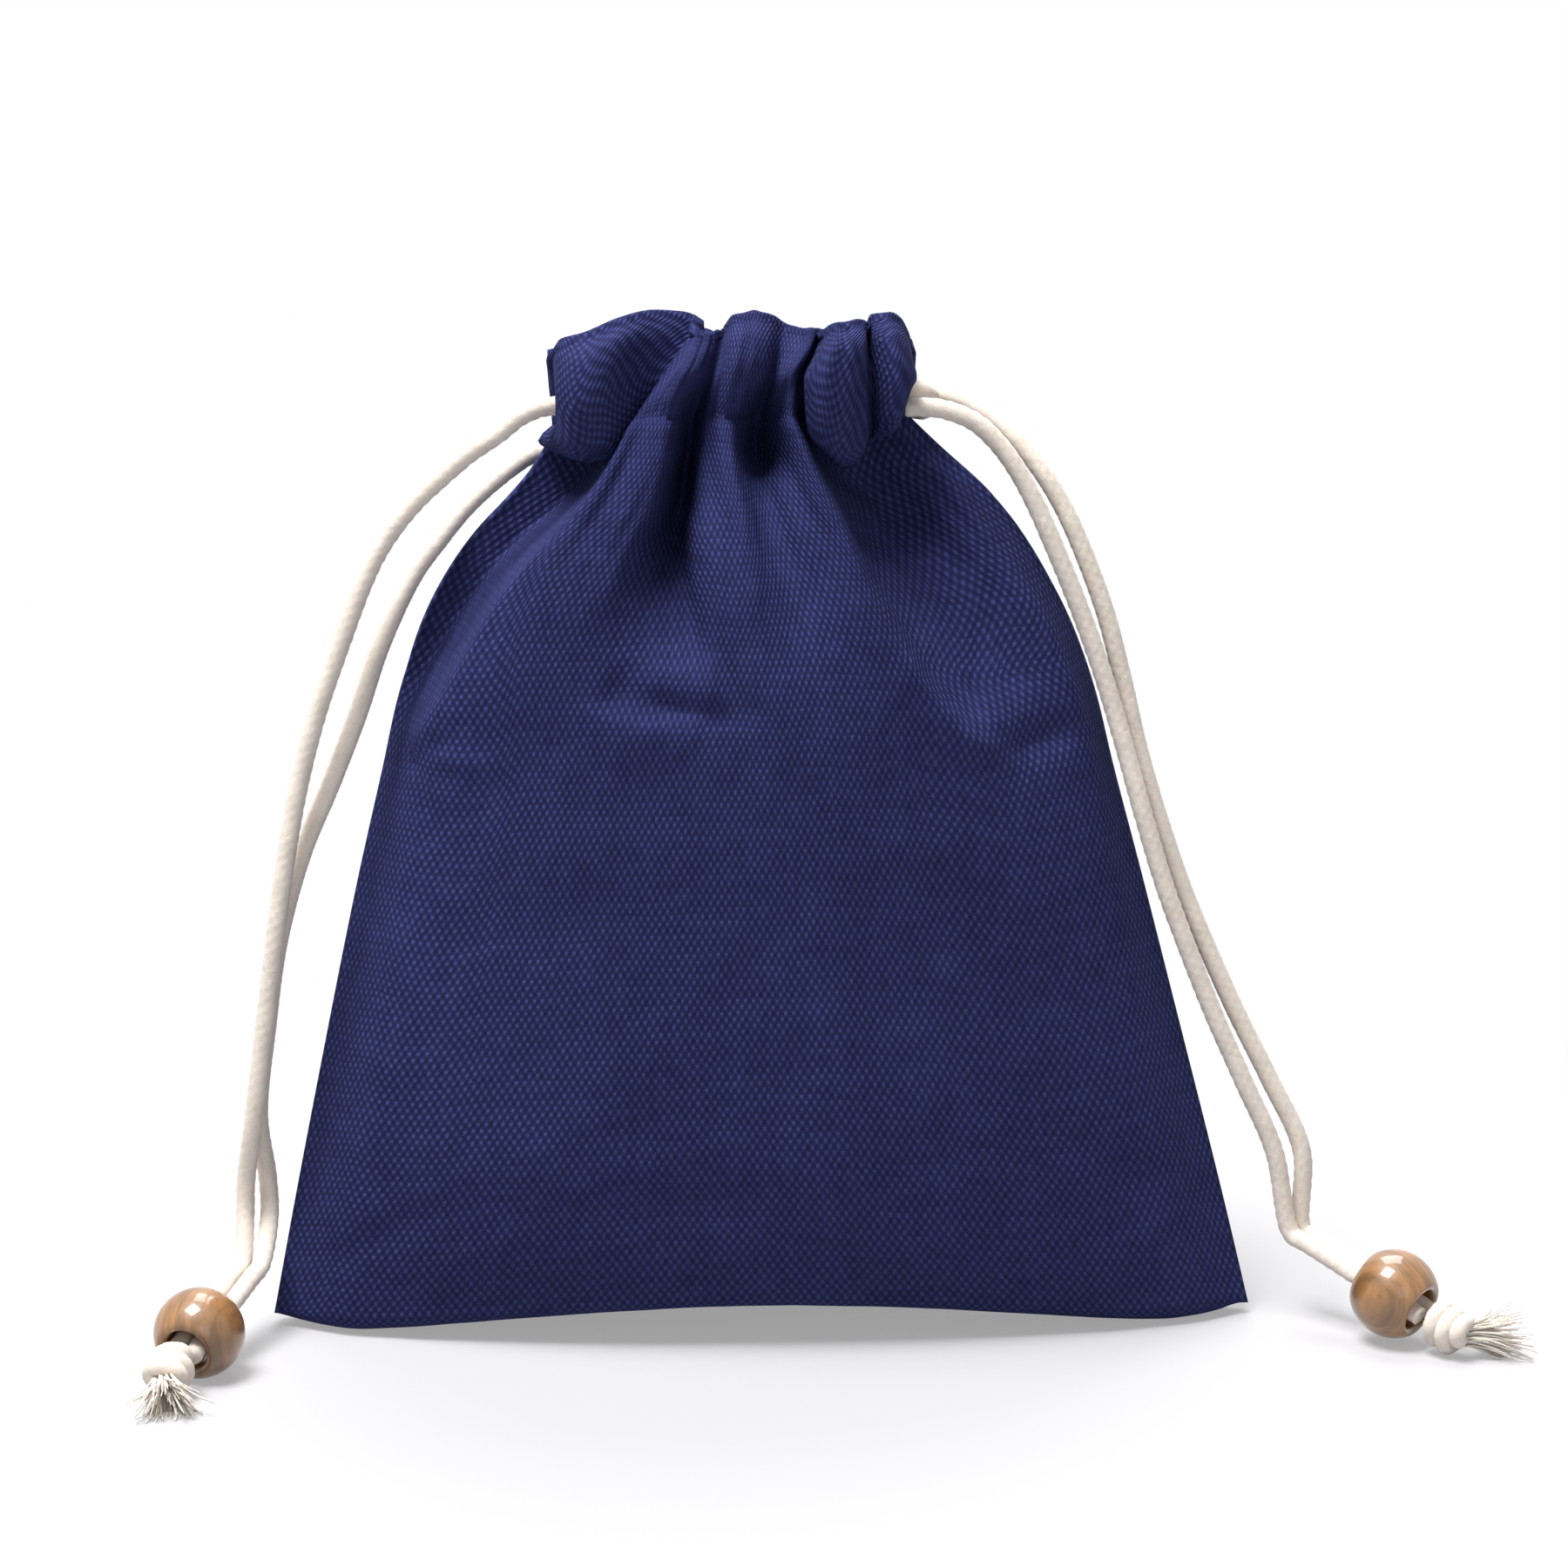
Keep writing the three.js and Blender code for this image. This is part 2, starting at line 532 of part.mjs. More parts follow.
// Knots: wrapped turns of cord behind the bead, along Y
function wrapsGeometry() {
  const start = BEAD_HALF_LENGTH + KNOT_GAP * 1.5;
  const profile = [new THREE.Vector2(0, start)];
  const turn = KNOT_LENGTH / KNOT_TURNS;
  const waist = 0.8;
  for (let i = 0; i < KNOT_TURNS; i += 1) {
    const fullness = KNOT_RADIUS * (1 - 0.06 * i);
    profile.push(new THREE.Vector2(fullness * waist, start + turn * (i + 0.08)));
    profile.push(new THREE.Vector2(fullness, start + turn * (i + 0.35)));
    profile.push(new THREE.Vector2(fullness, start + turn * (i + 0.65)));
    profile.push(new THREE.Vector2(fullness * waist, start + turn * (i + 0.92)));
  }
  profile.push(new THREE.Vector2(0, start + KNOT_LENGTH));
  return new THREE.LatheGeometry(profile, 14);
}

// The frayed ends: a brush from inside the last wrap, with a lobed section
function frayGeometry(bead) {
  const root = bead.centre.clone().addScaledVector(bead.way, BEAD_HALF_LENGTH + KNOT_LENGTH * 0.8);
  const bend = bead.centre.clone().addScaledVector(bead.way, BEAD_HALF_LENGTH + KNOT_LENGTH * 1.2);
  const path = new THREE.CatmullRomCurve3([root, bend, bend.clone().add(bead.fray)]);
  const lobes = 5;
  const corners = [];
  for (let i = 0; i < lobes * 2; i += 1) {
    const angle = (Math.PI * i) / lobes;
    const radius = FRAY_RADIUS * (i % 2 ? 0.72 : 1);
    corners.push(new THREE.Vector2(radius * Math.cos(angle), radius * Math.sin(angle)));
  }
  const section = new THREE.Shape(corners);
  return new THREE.ExtrudeGeometry(section, { steps: 6, bevelEnabled: false, extrudePath: path });
}

function knotGeometry(bead) {
  const turned = new THREE.Matrix4().compose(bead.centre, beadTurn(bead), vector([1, 1, 1]));
  const wraps = toSolid(wrapsGeometry().applyMatrix4(turned));
  return toGeometry(wraps.add(toSolid(frayGeometry(bead))));
}

function beadTurn(bead) {
  return new THREE.Quaternion().setFromUnitVectors(vector([0, 1, 0]), bead.way);
}

// Scene graph
const group = new THREE.Group();

function addPiece(name, geometry, material) {
  const mesh = new THREE.Mesh(geometry, material);
  mesh.name = name;
  group.add(mesh);
  return mesh;
}

function cloth() {
  return new THREE.MeshStandardMaterial({ color: '#262a4c', roughness: 0.95, metalness: 0 });
}

function cotton() {
  return new THREE.MeshStandardMaterial({ color: '#e6d9cb', roughness: 0.9, metalness: 0 });
}

function wood() {
  return new THREE.MeshStandardMaterial({ color: '#a8763f', roughness: 0.3, metalness: 0 });
}

const STRANDS = [
  ['cord_left_front', LEFT_FRONT_ROUTE, LEFT_BEAD, 1],
  ['cord_left_back', LEFT_BACK_ROUTE, LEFT_BEAD, -1],
  ['cord_right_front', RIGHT_FRONT_ROUTE, RIGHT_BEAD, 1],
  ['cord_right_back', RIGHT_BACK_ROUTE, RIGHT_BEAD, -1],
];
const strandPoints = STRANDS.map(([, route, bead, side]) => (
  [...route.map(vector), ...strandThroughBead(bead, side)]));

const HIGH_LANE = LOW_LANE + LANE_SPACING;
const leftInside = casingCordPoints(
  LEFT_FRONT_ROUTE, LEFT_BACK_ROUTE, HIGH_LANE, LOW_LANE, LEFT_CORD_TURN, -1);
const rightInside = casingCordPoints(
  RIGHT_FRONT_ROUTE, RIGHT_BACK_ROUTE, LOW_LANE, HIGH_LANE, RIGHT_CORD_TURN, 1);
const cordsInCasings = [leftInside, rightInside, ...strandPoints.map((points) => points.slice(0, 3))];

addPiece('front_panel', panelGeometry(FRONT, cordsInCasings), cloth());
addPiece('back_panel', panelGeometry(BACK, cordsInCasings), cloth());
STRANDS.forEach(([name], i) => addPiece(name, cordGeometry(strandPoints[i]), cotton()));
addPiece('cord_left_in_casing', cordGeometry(leftInside), cotton());
addPiece('cord_right_in_casing', cordGeometry(rightInside), cotton());

for (const [name, bead] of [['left', LEFT_BEAD], ['right', RIGHT_BEAD]]) {
  const ball = addPiece(`bead_${name}`, beadGeometry(), wood());
  ball.position.copy(bead.centre);
  ball.quaternion.copy(beadTurn(bead));
  addPiece(`knot_${name}`, knotGeometry(bead), cotton());
}

export default group;
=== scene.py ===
"""A drawstring pouch of thick navy cloth, drawn closed, with cotton cords and wooden beads."""

import math
import random

import bmesh
import bpy
from mathutils import Matrix, Vector, noise


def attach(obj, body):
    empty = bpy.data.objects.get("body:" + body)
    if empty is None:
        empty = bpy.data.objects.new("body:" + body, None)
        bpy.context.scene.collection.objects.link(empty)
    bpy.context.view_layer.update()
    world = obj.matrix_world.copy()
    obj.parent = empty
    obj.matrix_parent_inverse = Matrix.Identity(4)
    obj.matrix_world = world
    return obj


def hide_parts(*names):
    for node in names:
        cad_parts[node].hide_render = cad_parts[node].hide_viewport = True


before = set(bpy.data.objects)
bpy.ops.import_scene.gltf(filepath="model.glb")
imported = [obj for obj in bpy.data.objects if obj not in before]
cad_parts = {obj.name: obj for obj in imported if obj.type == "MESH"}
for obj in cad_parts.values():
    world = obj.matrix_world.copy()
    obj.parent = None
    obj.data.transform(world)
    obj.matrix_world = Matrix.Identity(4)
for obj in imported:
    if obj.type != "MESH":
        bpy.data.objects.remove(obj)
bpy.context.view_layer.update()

bl_info = {
    "name": "Drawstring pouch",
    "version": (1, 0, 0),
    "blender": (4, 5, 0),
    "location": "3D View > Sidebar > Pouch",
    "description": "Builds a gathered cloth pouch with its cords, beads and frayed knots",
    "category": "Object",
}

MM = 0.001
UV_SPAN = 0.2                 # metres of flat cloth in one unit of the cloth's UV map


# Curves and numbers


def clamp(value, low=0.0, high=1.0):
    return max(low, min(high, value))


def smoothstep(low, high, value):
    share = clamp((value - low) / (high - low))
    return share * share * (3 - 2 * share)


def bump(distance, width):
    """1 in the middle, fading to nothing past a few widths."""
    return math.exp(-((distance / width) ** 2))


def spline(points, step):
    """Points every step metres along a centripetal Catmull-Rom curve through the given ones."""
    points = [Vector(p) for p in points]
    ends = [2 * points[0] - points[1]] + points + [2 * points[-1] - points[-2]]
    dense = []
    for i in range(1, len(ends) - 2):
        p0, p1, p2, p3 = ends[i - 1 : i + 3]
        t0 = 0.0
        t1 = t0 + math.sqrt((p1 - p0).length)
        t2 = t1 + math.sqrt((p2 - p1).length)
        t3 = t2 + math.sqrt((p3 - p2).length)
        count = max(4, math.ceil((p2 - p1).length / step * 4))
        for k in range(count):
            t = t1 + (t2 - t1) * k / count
            a1 = p0.lerp(p1, (t - t0) / (t1 - t0))
            a2 = p1.lerp(p2, (t - t1) / (t2 - t1))
            a3 = p2.lerp(p3, (t - t2) / (t3 - t2))
            b1 = a1.lerp(a2, (t - t0) / (t2 - t0))
            b2 = a2.lerp(a3, (t - t1) / (t3 - t1))
            dense.append(b1.lerp(b2, (t - t1) / (t2 - t1)))
    dense.append(points[-1])
    return even_steps(dense, step)


def even_steps(dense, step):
    """Points spread evenly along a line of many close points."""
    lengths = [0.0]
    for a, b in zip(dense, dense[1:]):
        lengths.append(lengths[-1] + (b - a).length)
    count = max(2, round(lengths[-1] / step))
    result = []
    k = 0
    for i in range(count + 1):
        wanted = lengths[-1] * i / count
        while k < len(lengths) - 2 and lengths[k + 1] < wanted:
            k += 1
        span = lengths[k + 1] - lengths[k] or 1.0
        result.append(dense[k].lerp(dense[k + 1], (wanted - lengths[k]) / span))
    return result


# Camera and stage

TARGET = Vector((2.9, 0.0, 71.0)) * MM
CAMERA_DISTANCE = 0.48
CAMERA_ELEVATION = math.radians(10.5)
CAMERA_TURN = math.radians(-2.2)
CAMERA_LENS = 84.5


def make_camera():
    data = bpy.data.cameras.new("camera")
    data.lens = CAMERA_LENS
    data.sensor_width = 36.0
    data.clip_start = 0.01
    camera = bpy.data.objects.new("camera", data)
    bpy.context.scene.collection.objects.link(camera)
    flat = math.cos(CAMERA_ELEVATION) * CAMERA_DISTANCE
    camera.location = TARGET + Vector((
        flat * math.sin(CAMERA_TURN),
        -flat * math.cos(CAMERA_TURN),
        CAMERA_DISTANCE * math.sin(CAMERA_ELEVATION),
    ))
    look = TARGET - camera.location
    camera.rotation_euler = look.to_track_quat("-Z", "Y").to_euler()
    bpy.context.scene.camera = camera


def area_lamp(name, place, size, power, aim):
    data = bpy.data.lights.new(name, "AREA")
    data.shape = "RECTANGLE"
    data.size = size[0]
    data.size_y = size[1]
    data.energy = power
    lamp = bpy.data.objects.new(name, data)
    bpy.context.scene.collection.objects.link(lamp)
    lamp.location = place
    lamp.rotation_euler = (Vector(aim) - Vector(place)).to_track_quat("-Z", "Y").to_euler()


# Materials


class Nodes:
    """Short calls for building a node tree."""

    def __init__(self, owner, output="ShaderNodeOutputMaterial"):
        owner.use_nodes = True
        self.owner = owner
        self.tree = owner.node_tree
        self.tree.nodes.clear()
        self.output = self.tree.nodes.new(output)

    def add(self, kind, **settings):
        node = self.tree.nodes.new(kind)
        for key, value in settings.items():
            setattr(node, key, value)
        return node

    def feed(self, socket, value):
        if isinstance(value, bpy.types.NodeSocket):
            self.tree.links.new(value, socket)
        elif value is not None:
            socket.default_value = value

    def math(self, operation, a, b=None, c=None):
        node = self.add("ShaderNodeMath", operation=operation)
        for socket, value in zip(node.inputs, (a, b, c)):
            self.feed(socket, value)
        return node.outputs[0]

    def times(self, a, b):
        return self.math("MULTIPLY", a, b)

    def plus(self, a, b):
        return self.math("ADD", a, b)

    def minus(self, a, b):
        return self.math("SUBTRACT", a, b)

    def mix(self, factor, a, b, blend="MIX"):
        node = self.add("ShaderNodeMix", data_type="RGBA", blend_type=blend)
        self.feed(node.inputs["Factor"], factor)
        self.feed(node.inputs[6], a)
        self.feed(node.inputs[7], b)
        return node.outputs[2]

    def noise(self, vector, scale, detail=2.0, roughness=0.5, dimensions="3D"):
        node = self.add("ShaderNodeTexNoise", noise_dimensions=dimensions)
        self.feed(node.inputs["Vector"], vector)
        node.inputs["Scale"].default_value = scale
        node.inputs["Detail"].default_value = detail
        node.inputs["Roughness"].default_value = roughness
        return node.outputs["Fac"]

    def combine(self, x, y, z=0.0):
        node = self.add("ShaderNodeCombineXYZ")
        for socket, value in zip(node.inputs, (x, y, z)):
            self.feed(socket, value)
        return node.outputs[0]

    def remap(self, value, low, high, to_low=0.0, to_high=1.0):
        node = self.add("ShaderNodeMapRange")
        for socket, number in zip(node.inputs, (value, low, high, to_low, to_high)):
            self.feed(socket, number)
        return node.outputs[0]

    def bump(self, height, strength, distance, normal=None):
        node = self.add("ShaderNodeBump")
        node.inputs["Strength"].default_value = strength
        node.inputs["Distance"].default_value = distance
        self.feed(node.inputs["Height"], height)
        self.feed(node.inputs["Normal"], normal)
        return node.outputs[0]

    def surface(self, color, roughness, normal=None, **constants):
        node = self.add("ShaderNodeBsdfPrincipled")
        self.feed(node.inputs["Base Color"], color)
        self.feed(node.inputs["Roughness"], roughness)
        self.feed(node.inputs["Normal"], normal)
        for key, value in constants.items():
            node.inputs[key.replace("_", " ")].default_value = value
        self.feed(self.output.inputs[0], node.outputs[0])
        return self.owner


def tint(color, factor, lift=0.0):
    """The colour made darker or lighter, as an opaque node colour."""
    return tuple(min(1.0, c * factor + lift) for c in color[:3]) + (1.0,)


DIP_SHARE = 0.3               # how deep the cloth dips between the dots, as a share of their height
KNOB_HEIGHTS = (0.6, 1.2)     # lowest and highest dot, where an upright thread lies on top
WANDER_SIZE = 9 * MM          # over this length the threads wander
WANDER_THREADS = 1.3          # by this many threads' widths
SLUB_LENGTH = 7 * MM          # over this length a thread's thickness and shade drift
FIBRE_SIZE = 0.2 * MM
FLECK_SIZE = 0.5 * MM         # pale flecks where undyed fibre shows
WEAR_SIZE = 30 * MM           # broad patches that are a little paler or darker
WEAVE_RELIEF = 0.22 * MM


def cloth_material(settings):
    """Plain weave with slubs, in the flat cloth's own coordinates, with painted shade in the dips between
    the dots and painted light on their tops.
    """
    n = Nodes(bpy.data.materials.new("navy_cloth"))
    flat = n.add("ShaderNodeUVMap", uv_map="cloth").outputs[0]
    split = n.add("ShaderNodeSeparateXYZ")
    n.feed(split.inputs[0], flat)
    wander = n.noise(flat, UV_SPAN / WANDER_SIZE, 2.0)
    wobble = n.times(n.minus(wander, 0.5), WANDER_THREADS)
    warp = n.plus(n.times(split.outputs[0], UV_SPAN / settings.warp_pitch), wobble)
    weft = n.plus(n.times(split.outputs[1], UV_SPAN / settings.weft_pitch), wobble)
    warp_number = n.math("FLOOR", warp)
    weft_number = n.math("FLOOR", weft)

    # The two waves have the same sign where the upright thread lies on top: a staggered row of dots.
    warp_wave = n.math("SINE", n.times(warp, math.pi))
    weft_wave = n.math("SINE", n.times(weft, math.pi))
    on_top = n.math("GREATER_THAN", n.times(warp_wave, weft_wave), 0.0)
    wide = n.math("POWER", n.math("ABSOLUTE", warp_wave), 0.5)
    dot = n.times(wide, n.math("POWER", n.math("ABSOLUTE", weft_wave), 1.2))
    uneven_dots = n.add("ShaderNodeTexWhiteNoise", noise_dimensions="2D")
    n.feed(uneven_dots.inputs["Vector"], n.combine(warp_number, weft_number))
    knob = n.remap(uneven_dots.outputs["Value"], 0, 1, *KNOB_HEIGHTS)
    swing = n.minus(n.times(on_top, n.plus(knob, DIP_SHARE)), DIP_SHARE)
    height = n.math("MULTIPLY_ADD", dot, swing, 0.4)

    warp_shade = thread_shade(n, warp_number, split.outputs[1], 17.3)
    weft_shade = thread_shade(n, weft_number, split.outputs[0], 5.1)
    shade = n.plus(n.times(warp_shade, 0.45), n.times(weft_shade, 0.55))
    fibre = n.noise(flat, UV_SPAN / FIBRE_SIZE, 2.0, 0.6)
    height = n.plus(height, n.times(fibre, 0.2))
    height = n.plus(height, n.times(shade, 0.3))

    color = settings.cloth_color
    # Painted shade and light: the colour runs from a darker copy of the cloth in the weave's dips to a
    # lighter copy on its raised dots, times each thread's own random tone.
    tone = n.times(n.remap(height, 0.15, 1.45), n.remap(shade, 0.25, 0.75, 0.7, 1.3))
    base = n.mix(tone, tint(color, 0.42), tint(color, 2.1, 0.002))
    fleck = n.remap(n.noise(flat, UV_SPAN / FLECK_SIZE, 1.0), 0.71, 0.80)
    base = n.mix(n.times(fleck, 0.3), base, tint(color, 3.6, 0.02))
    wear = n.remap(n.noise(flat, UV_SPAN / WEAR_SIZE, 3.0), 0.35, 0.65, 0.92, 1.1)
    base = n.mix(1.0, base, n.combine(wear, wear, wear), blend="MULTIPLY")
    normal = n.bump(height, 0.8, WEAVE_RELIEF)
    return n.surface(base, 0.9, normal, Specular_IOR_Level=0.05)


def thread_shade(n, number, distance, seed):
    """Each thread has its own shade, which drifts along it in long slubs."""
    along = n.times(distance, UV_SPAN / SLUB_LENGTH)
    place = n.combine(n.times(number, 0.731), along, seed)
    return n.noise(place, 1.0, 2.0, 0.6)


def cotton_material(name, color):
    """Soft cotton: fine fibre noise over the braid or twist that is in the mesh."""
    n = Nodes(bpy.data.materials.new(name))
    place = n.add("ShaderNodeTexCoord").outputs["Object"]
    fibre = n.noise(place, 1 / (0.22 * MM), 3.0, 0.65)
    patch = n.noise(place, 1 / (3.0 * MM), 2.0)
    tone = n.plus(n.times(fibre, 0.6), n.times(patch, 0.4))
    base = n.mix(n.remap(tone, 0.3, 0.65), tint(color, 0.80), tint(color, 1.06))
    normal = n.bump(fibre, 0.6, 0.12 * MM)
    return n.surface(base, 0.85, normal, Sheen_Weight=0.25, Sheen_Roughness=0.5,
                     Specular_IOR_Level=0.25, Subsurface_Weight=0.12, Subsurface_Scale=0.0012)


def bead_material(color):
    """Turned and stained wood under clear lacquer, with the grain along the bore."""
    n = Nodes(bpy.data.materials.new("lacquered_wood"))
    flat = n.add("ShaderNodeUVMap", uv_map="grain").outputs[0]
    stretched = n.add("ShaderNodeMapping")
    stretched.inputs["Scale"].default_value = (1.0, 0.22, 1.0)
    n.feed(stretched.inputs["Vector"], flat)
    rings = n.noise(stretched.outputs[0], 16.0, 3.0, 0.6)
    pores = n.noise(stretched.outputs[0], 120.0, 2.0, 0.6)
    dark = tint(color, 0.55)
    base = n.mix(n.remap(rings, 0.34, 0.66), dark, tint(color, 1.35))
    base = n.mix(n.times(n.remap(pores, 0.56, 0.68), 0.5), base, dark)
    normal = n.bump(pores, 0.12, 0.04 * MM)
    return n.surface(base, 0.42, normal, Coat_Weight=0.9, Coat_Roughness=0.08, Specular_IOR_Level=0.5)


# The cloth bag. Lengths here are in millimetres, and turned into metres where vertices are placed.

FLAT_WIDTH = 130.0            # each panel between its side seams
CLOTH_THICKNESS = 0.9
NECK_HEIGHT = 119.0
NECK_HALF_WIDTH = 22.5
BOTTOM_HALF_WIDTH = 64.8
BELLY_DEPTH = 22.0
NECK_CENTRE = -4.0
COLUMNS = 176
BAG_ROWS = 118
CASING_ROWS = 20
ROLL_ROWS = 5
INSIDE_ROWS = 10

SHOULDER = [[0, 0], [0.04, 0.09], [0.08, 0.195], [0.12, 0.29], [0.17, 0.38], [0.23, 0.465], [0.3, 0.535],
            [0.38, 0.59], [0.5, 0.676], [0.7, 0.81], [0.86, 0.914], [1, 1]]
SWELL = [[0, 0.4], [0.03, 0.5], [0.07, 0.6], [0.12, 0.7], [0.24, 0.86], [0.42, 0.98], [0.58, 1.04],
         [0.7, 1.03], [0.8, 0.93], [0.88, 0.78], [0.94, 0.62], [1, 0.44]]
LEAN = [[0, 0], [0.76, 0.45], [0.91, 0.45], [1, 1]]
FORWARD = [[0, 4.6], [0.2, 2.6], [0.45, 0.6], [0.6, 0]]  # the seam plane's own bend towards the front

# A fold is a line down the bag, named by its place across the cloth at the neck, from -1 to 1.
# Lower down, where the cloth is smooth, its place is simply how far across it is. Its points are
# [share of the neck's height, share of the half width, rise], with the rise as a share of the
# belly's depth, and less than 0 where the cloth is sunk in.
FRONT_FOLDS = {
    "left hollow": (-0.86, [
        (0.5, -0.86, 0), (0.62, -0.9, 0), (0.67, -0.96, -0.12), (0.71, -0.955, -0.24),
        (0.77, -0.94, -0.38), (0.85, -0.92, -0.5), (0.91, -0.89, -0.52), (0.96, -0.85, -0.42),
        (1, -0.8, -0.3)]),
    "left wall": (-0.73, [
        (0.5, -0.75, 0), (0.62, -0.88, 0), (0.67, -0.94, -0.06), (0.71, -0.915, -0.08),
        (0.77, -0.87, -0.16), (0.85, -0.83, -0.26), (0.91, -0.775, -0.3), (0.96, -0.72, -0.24),
        (1, -0.66, -0.16)]),
    "left ridge": (-0.66, [
        (0.5, -0.69, 0), (0.62, -0.85, 0.02), (0.655, -0.92, 0.06), (0.7, -0.875, 0.13),
        (0.77, -0.825, 0.18), (0.85, -0.775, 0.22), (0.91, -0.72, 0.24), (0.96, -0.66, 0.24),
        (1, -0.6, 0.24)]),
    "left panel": (-0.44, [
        (0.5, -0.46, 0), (0.64, -0.54, 0), (0.71, -0.55, 0.03), (0.77, -0.53, 0.05), (0.85, -0.47, 0.09),
        (0.91, -0.42, 0.14), (0.96, -0.39, 0.2), (1, -0.36, 0.24)]),
    "deep crease": (-0.24, [
        (0.5, -0.25, 0), (0.64, -0.21, 0.01), (0.69, -0.18, 0.04), (0.715, -0.17, -0.02),
        (0.74, -0.17, -0.09), (0.78, -0.185, -0.18), (0.84, -0.23, -0.34), (0.89, -0.265, -0.54),
        (0.94, -0.265, -0.56), (0.97, -0.24, -0.4), (1, -0.22, -0.24)]),
    "crease wall": (-0.15, [
        (0.5, -0.15, 0), (0.64, -0.13, 0.01), (0.7, -0.11, 0.0), (0.78, -0.12, -0.03),
        (0.84, -0.165, -0.05), (0.89, -0.2, -0.06), (0.94, -0.205, -0.08), (1, -0.16, -0.04)]),
    "middle ridge": (0.0, [
        (0.5, 0.0, 0), (0.67, 0.01, 0.01), (0.77, 0.0, 0.03), (0.84, -0.01, 0.07), (0.89, -0.03, 0.08),
        (0.94, -0.06, 0.1), (1, -0.02, 0.14)]),
    "small pocket": (0.18, [
        (0.5, 0.19, 0), (0.67, 0.18, 0), (0.77, 0.15, 0), (0.84, 0.11, -0.02), (0.89, 0.07, -0.06),
        (0.93, 0.06, -0.16), (0.965, 0.08, -0.46), (1, 0.16, -0.26)]),
    "right ridge": (0.4, [
        (0.5, 0.41, 0), (0.6, 0.53, 0), (0.645, 0.66, 0.02), (0.675, 0.58, 0.05), (0.73, 0.475, 0.1),
        (0.79, 0.405, 0.15), (0.84, 0.365, 0.18), (0.89, 0.335, 0.2), (0.94, 0.305, 0.22),
        (1, 0.34, 0.22)]),
    "ridge wall": (0.49, [
        (0.5, 0.5, 0), (0.6, 0.62, 0), (0.645, 0.74, -0.02), (0.675, 0.66, -0.06), (0.73, 0.545, -0.12),
        (0.79, 0.47, -0.2), (0.84, 0.42, -0.28), (0.89, 0.39, -0.32), (0.94, 0.38, -0.32),
        (1, 0.42, -0.2)]),
    "right hollow": (0.7, [
        (0.5, 0.7, 0), (0.62, 0.81, 0), (0.66, 0.84, -0.06), (0.71, 0.77, -0.18), (0.77, 0.7, -0.3),
        (0.84, 0.62, -0.42), (0.89, 0.58, -0.48), (0.94, 0.58, -0.46), (1, 0.66, -0.3)]),
    "right side": (0.87, [
        (0.5, 0.87, 0), (0.62, 0.925, 0), (0.71, 0.91, -0.02), (0.77, 0.89, -0.06), (0.84, 0.86, -0.12),
        (0.91, 0.84, -0.16), (1, 0.88, -0.16)]),
}

# The casing, as [place across the cloth, x halfway up, how far x moves on up to the rim, distance
# from the seam plane, height of the lowest edge, height of the rim]. Where the lowest edge is
# under the hem the casing puffs out over the bag, and elsewhere the bag's folds run on up into it.
FRONT_CASING = [
    (-1, -25.0, -0.2, 2.4, 115.6, 125.2), (-0.95, -26.2, -0.3, 5.6, 114.8, 127.0),
    (-0.88, -26.0, 0.3, 11.0, 114.2, 128.5), (-0.81, -23.8, 1.2, 15.0, 114.0, 130.0),
    (-0.75, -20.6, 2.2, 14.8, 114.2, 131.6), (-0.7, -17.0, 3.2, 11.8, 114.8, 132.6),
    (-0.66, -13.8, 3.8, 9.0, 116.4, 132.2), (-0.63, -12.2, 4.0, 8.6, 118.9, 131.4),
    (-0.59, -11.7, 3.2, 11.0, 119.2, 130.6), (-0.53, -11.1, 2.8, 13.8, 119.3, 130.2),
    (-0.44, -9.8, 2.3, 14.4, 119.3, 129.9), (-0.34, -8.2, 1.8, 12.2, 119.3, 129.8),
    (-0.27, -7.0, 1.5, 9.8, 119.4, 129.8), (-0.22, -6.4, 1.3, 8.6, 119.4, 129.9),
    (-0.17, -5.9, 1.1, 10.8, 119.3, 130.6), (-0.09, -4.9, 1.0, 13.4, 119.2, 131.9),
    (0, -2.9, 0.9, 14.4, 119.2, 132.4), (0.09, -0.9, 0.8, 13.6, 119.2, 132.3),
    (0.15, 0.6, 1.0, 11.2, 119.3, 131.6), (0.19, 1.4, 1.3, 9.2, 119.4, 130.9),
    (0.23, 1.9, 1.8, 11.0, 119.3, 130.5), (0.3, 2.9, 2.5, 13.6, 119.2, 130.3),
    (0.37, 4.0, 2.5, 12.0, 119.2, 130.4), (0.42, 4.5, 2.5, 9.8, 118.9, 130.1),
    (0.455, 4.8, 2.5, 11.6, 118.3, 129.9), (0.51, 5.2, 2.4, 16.0, 117.2, 130.4),
    (0.58, 7.2, 1.9, 18.2, 115.4, 131.2), (0.65, 10.2, 1.0, 16.8, 113.4, 131.6),
    (0.705, 12.7, 0.1, 12.8, 113.9, 131.0), (0.75, 13.4, -0.4, 9.0, 115.6, 130.4),
    (0.8, 14.3, -0.8, 11.4, 116.6, 131.9), (0.87, 16.7, -1.0, 13.6, 117.2, 132.2),
    (0.93, 18.8, -1.0, 10.4, 118.2, 130.9), (0.97, 19.4, -0.6, 6.4, 119.0, 128.8),
    (1, 18.6, -0.2, 2.6, 119.4, 126.4),
]
BACK_PLACES = [-0.84 + 0.21 * i for i in range(9)]


def even_folds():
    """Folds of the back: sunk and standing out in turn, fading out down the bag."""
    folds = {}
    for i, place in enumerate(BACK_PLACES):
        rise = -0.3 if i % 2 == 0 else 0.12
        folds[i] = (place, [(0.5, place, 0), (0.68 + 0.03 * (i % 3), place * 0.98, 0),
                            (0.82, place * 0.95, rise * 0.4), (0.92, place * 0.92, rise),
                            (1, place * 0.9, rise)])
    return folds


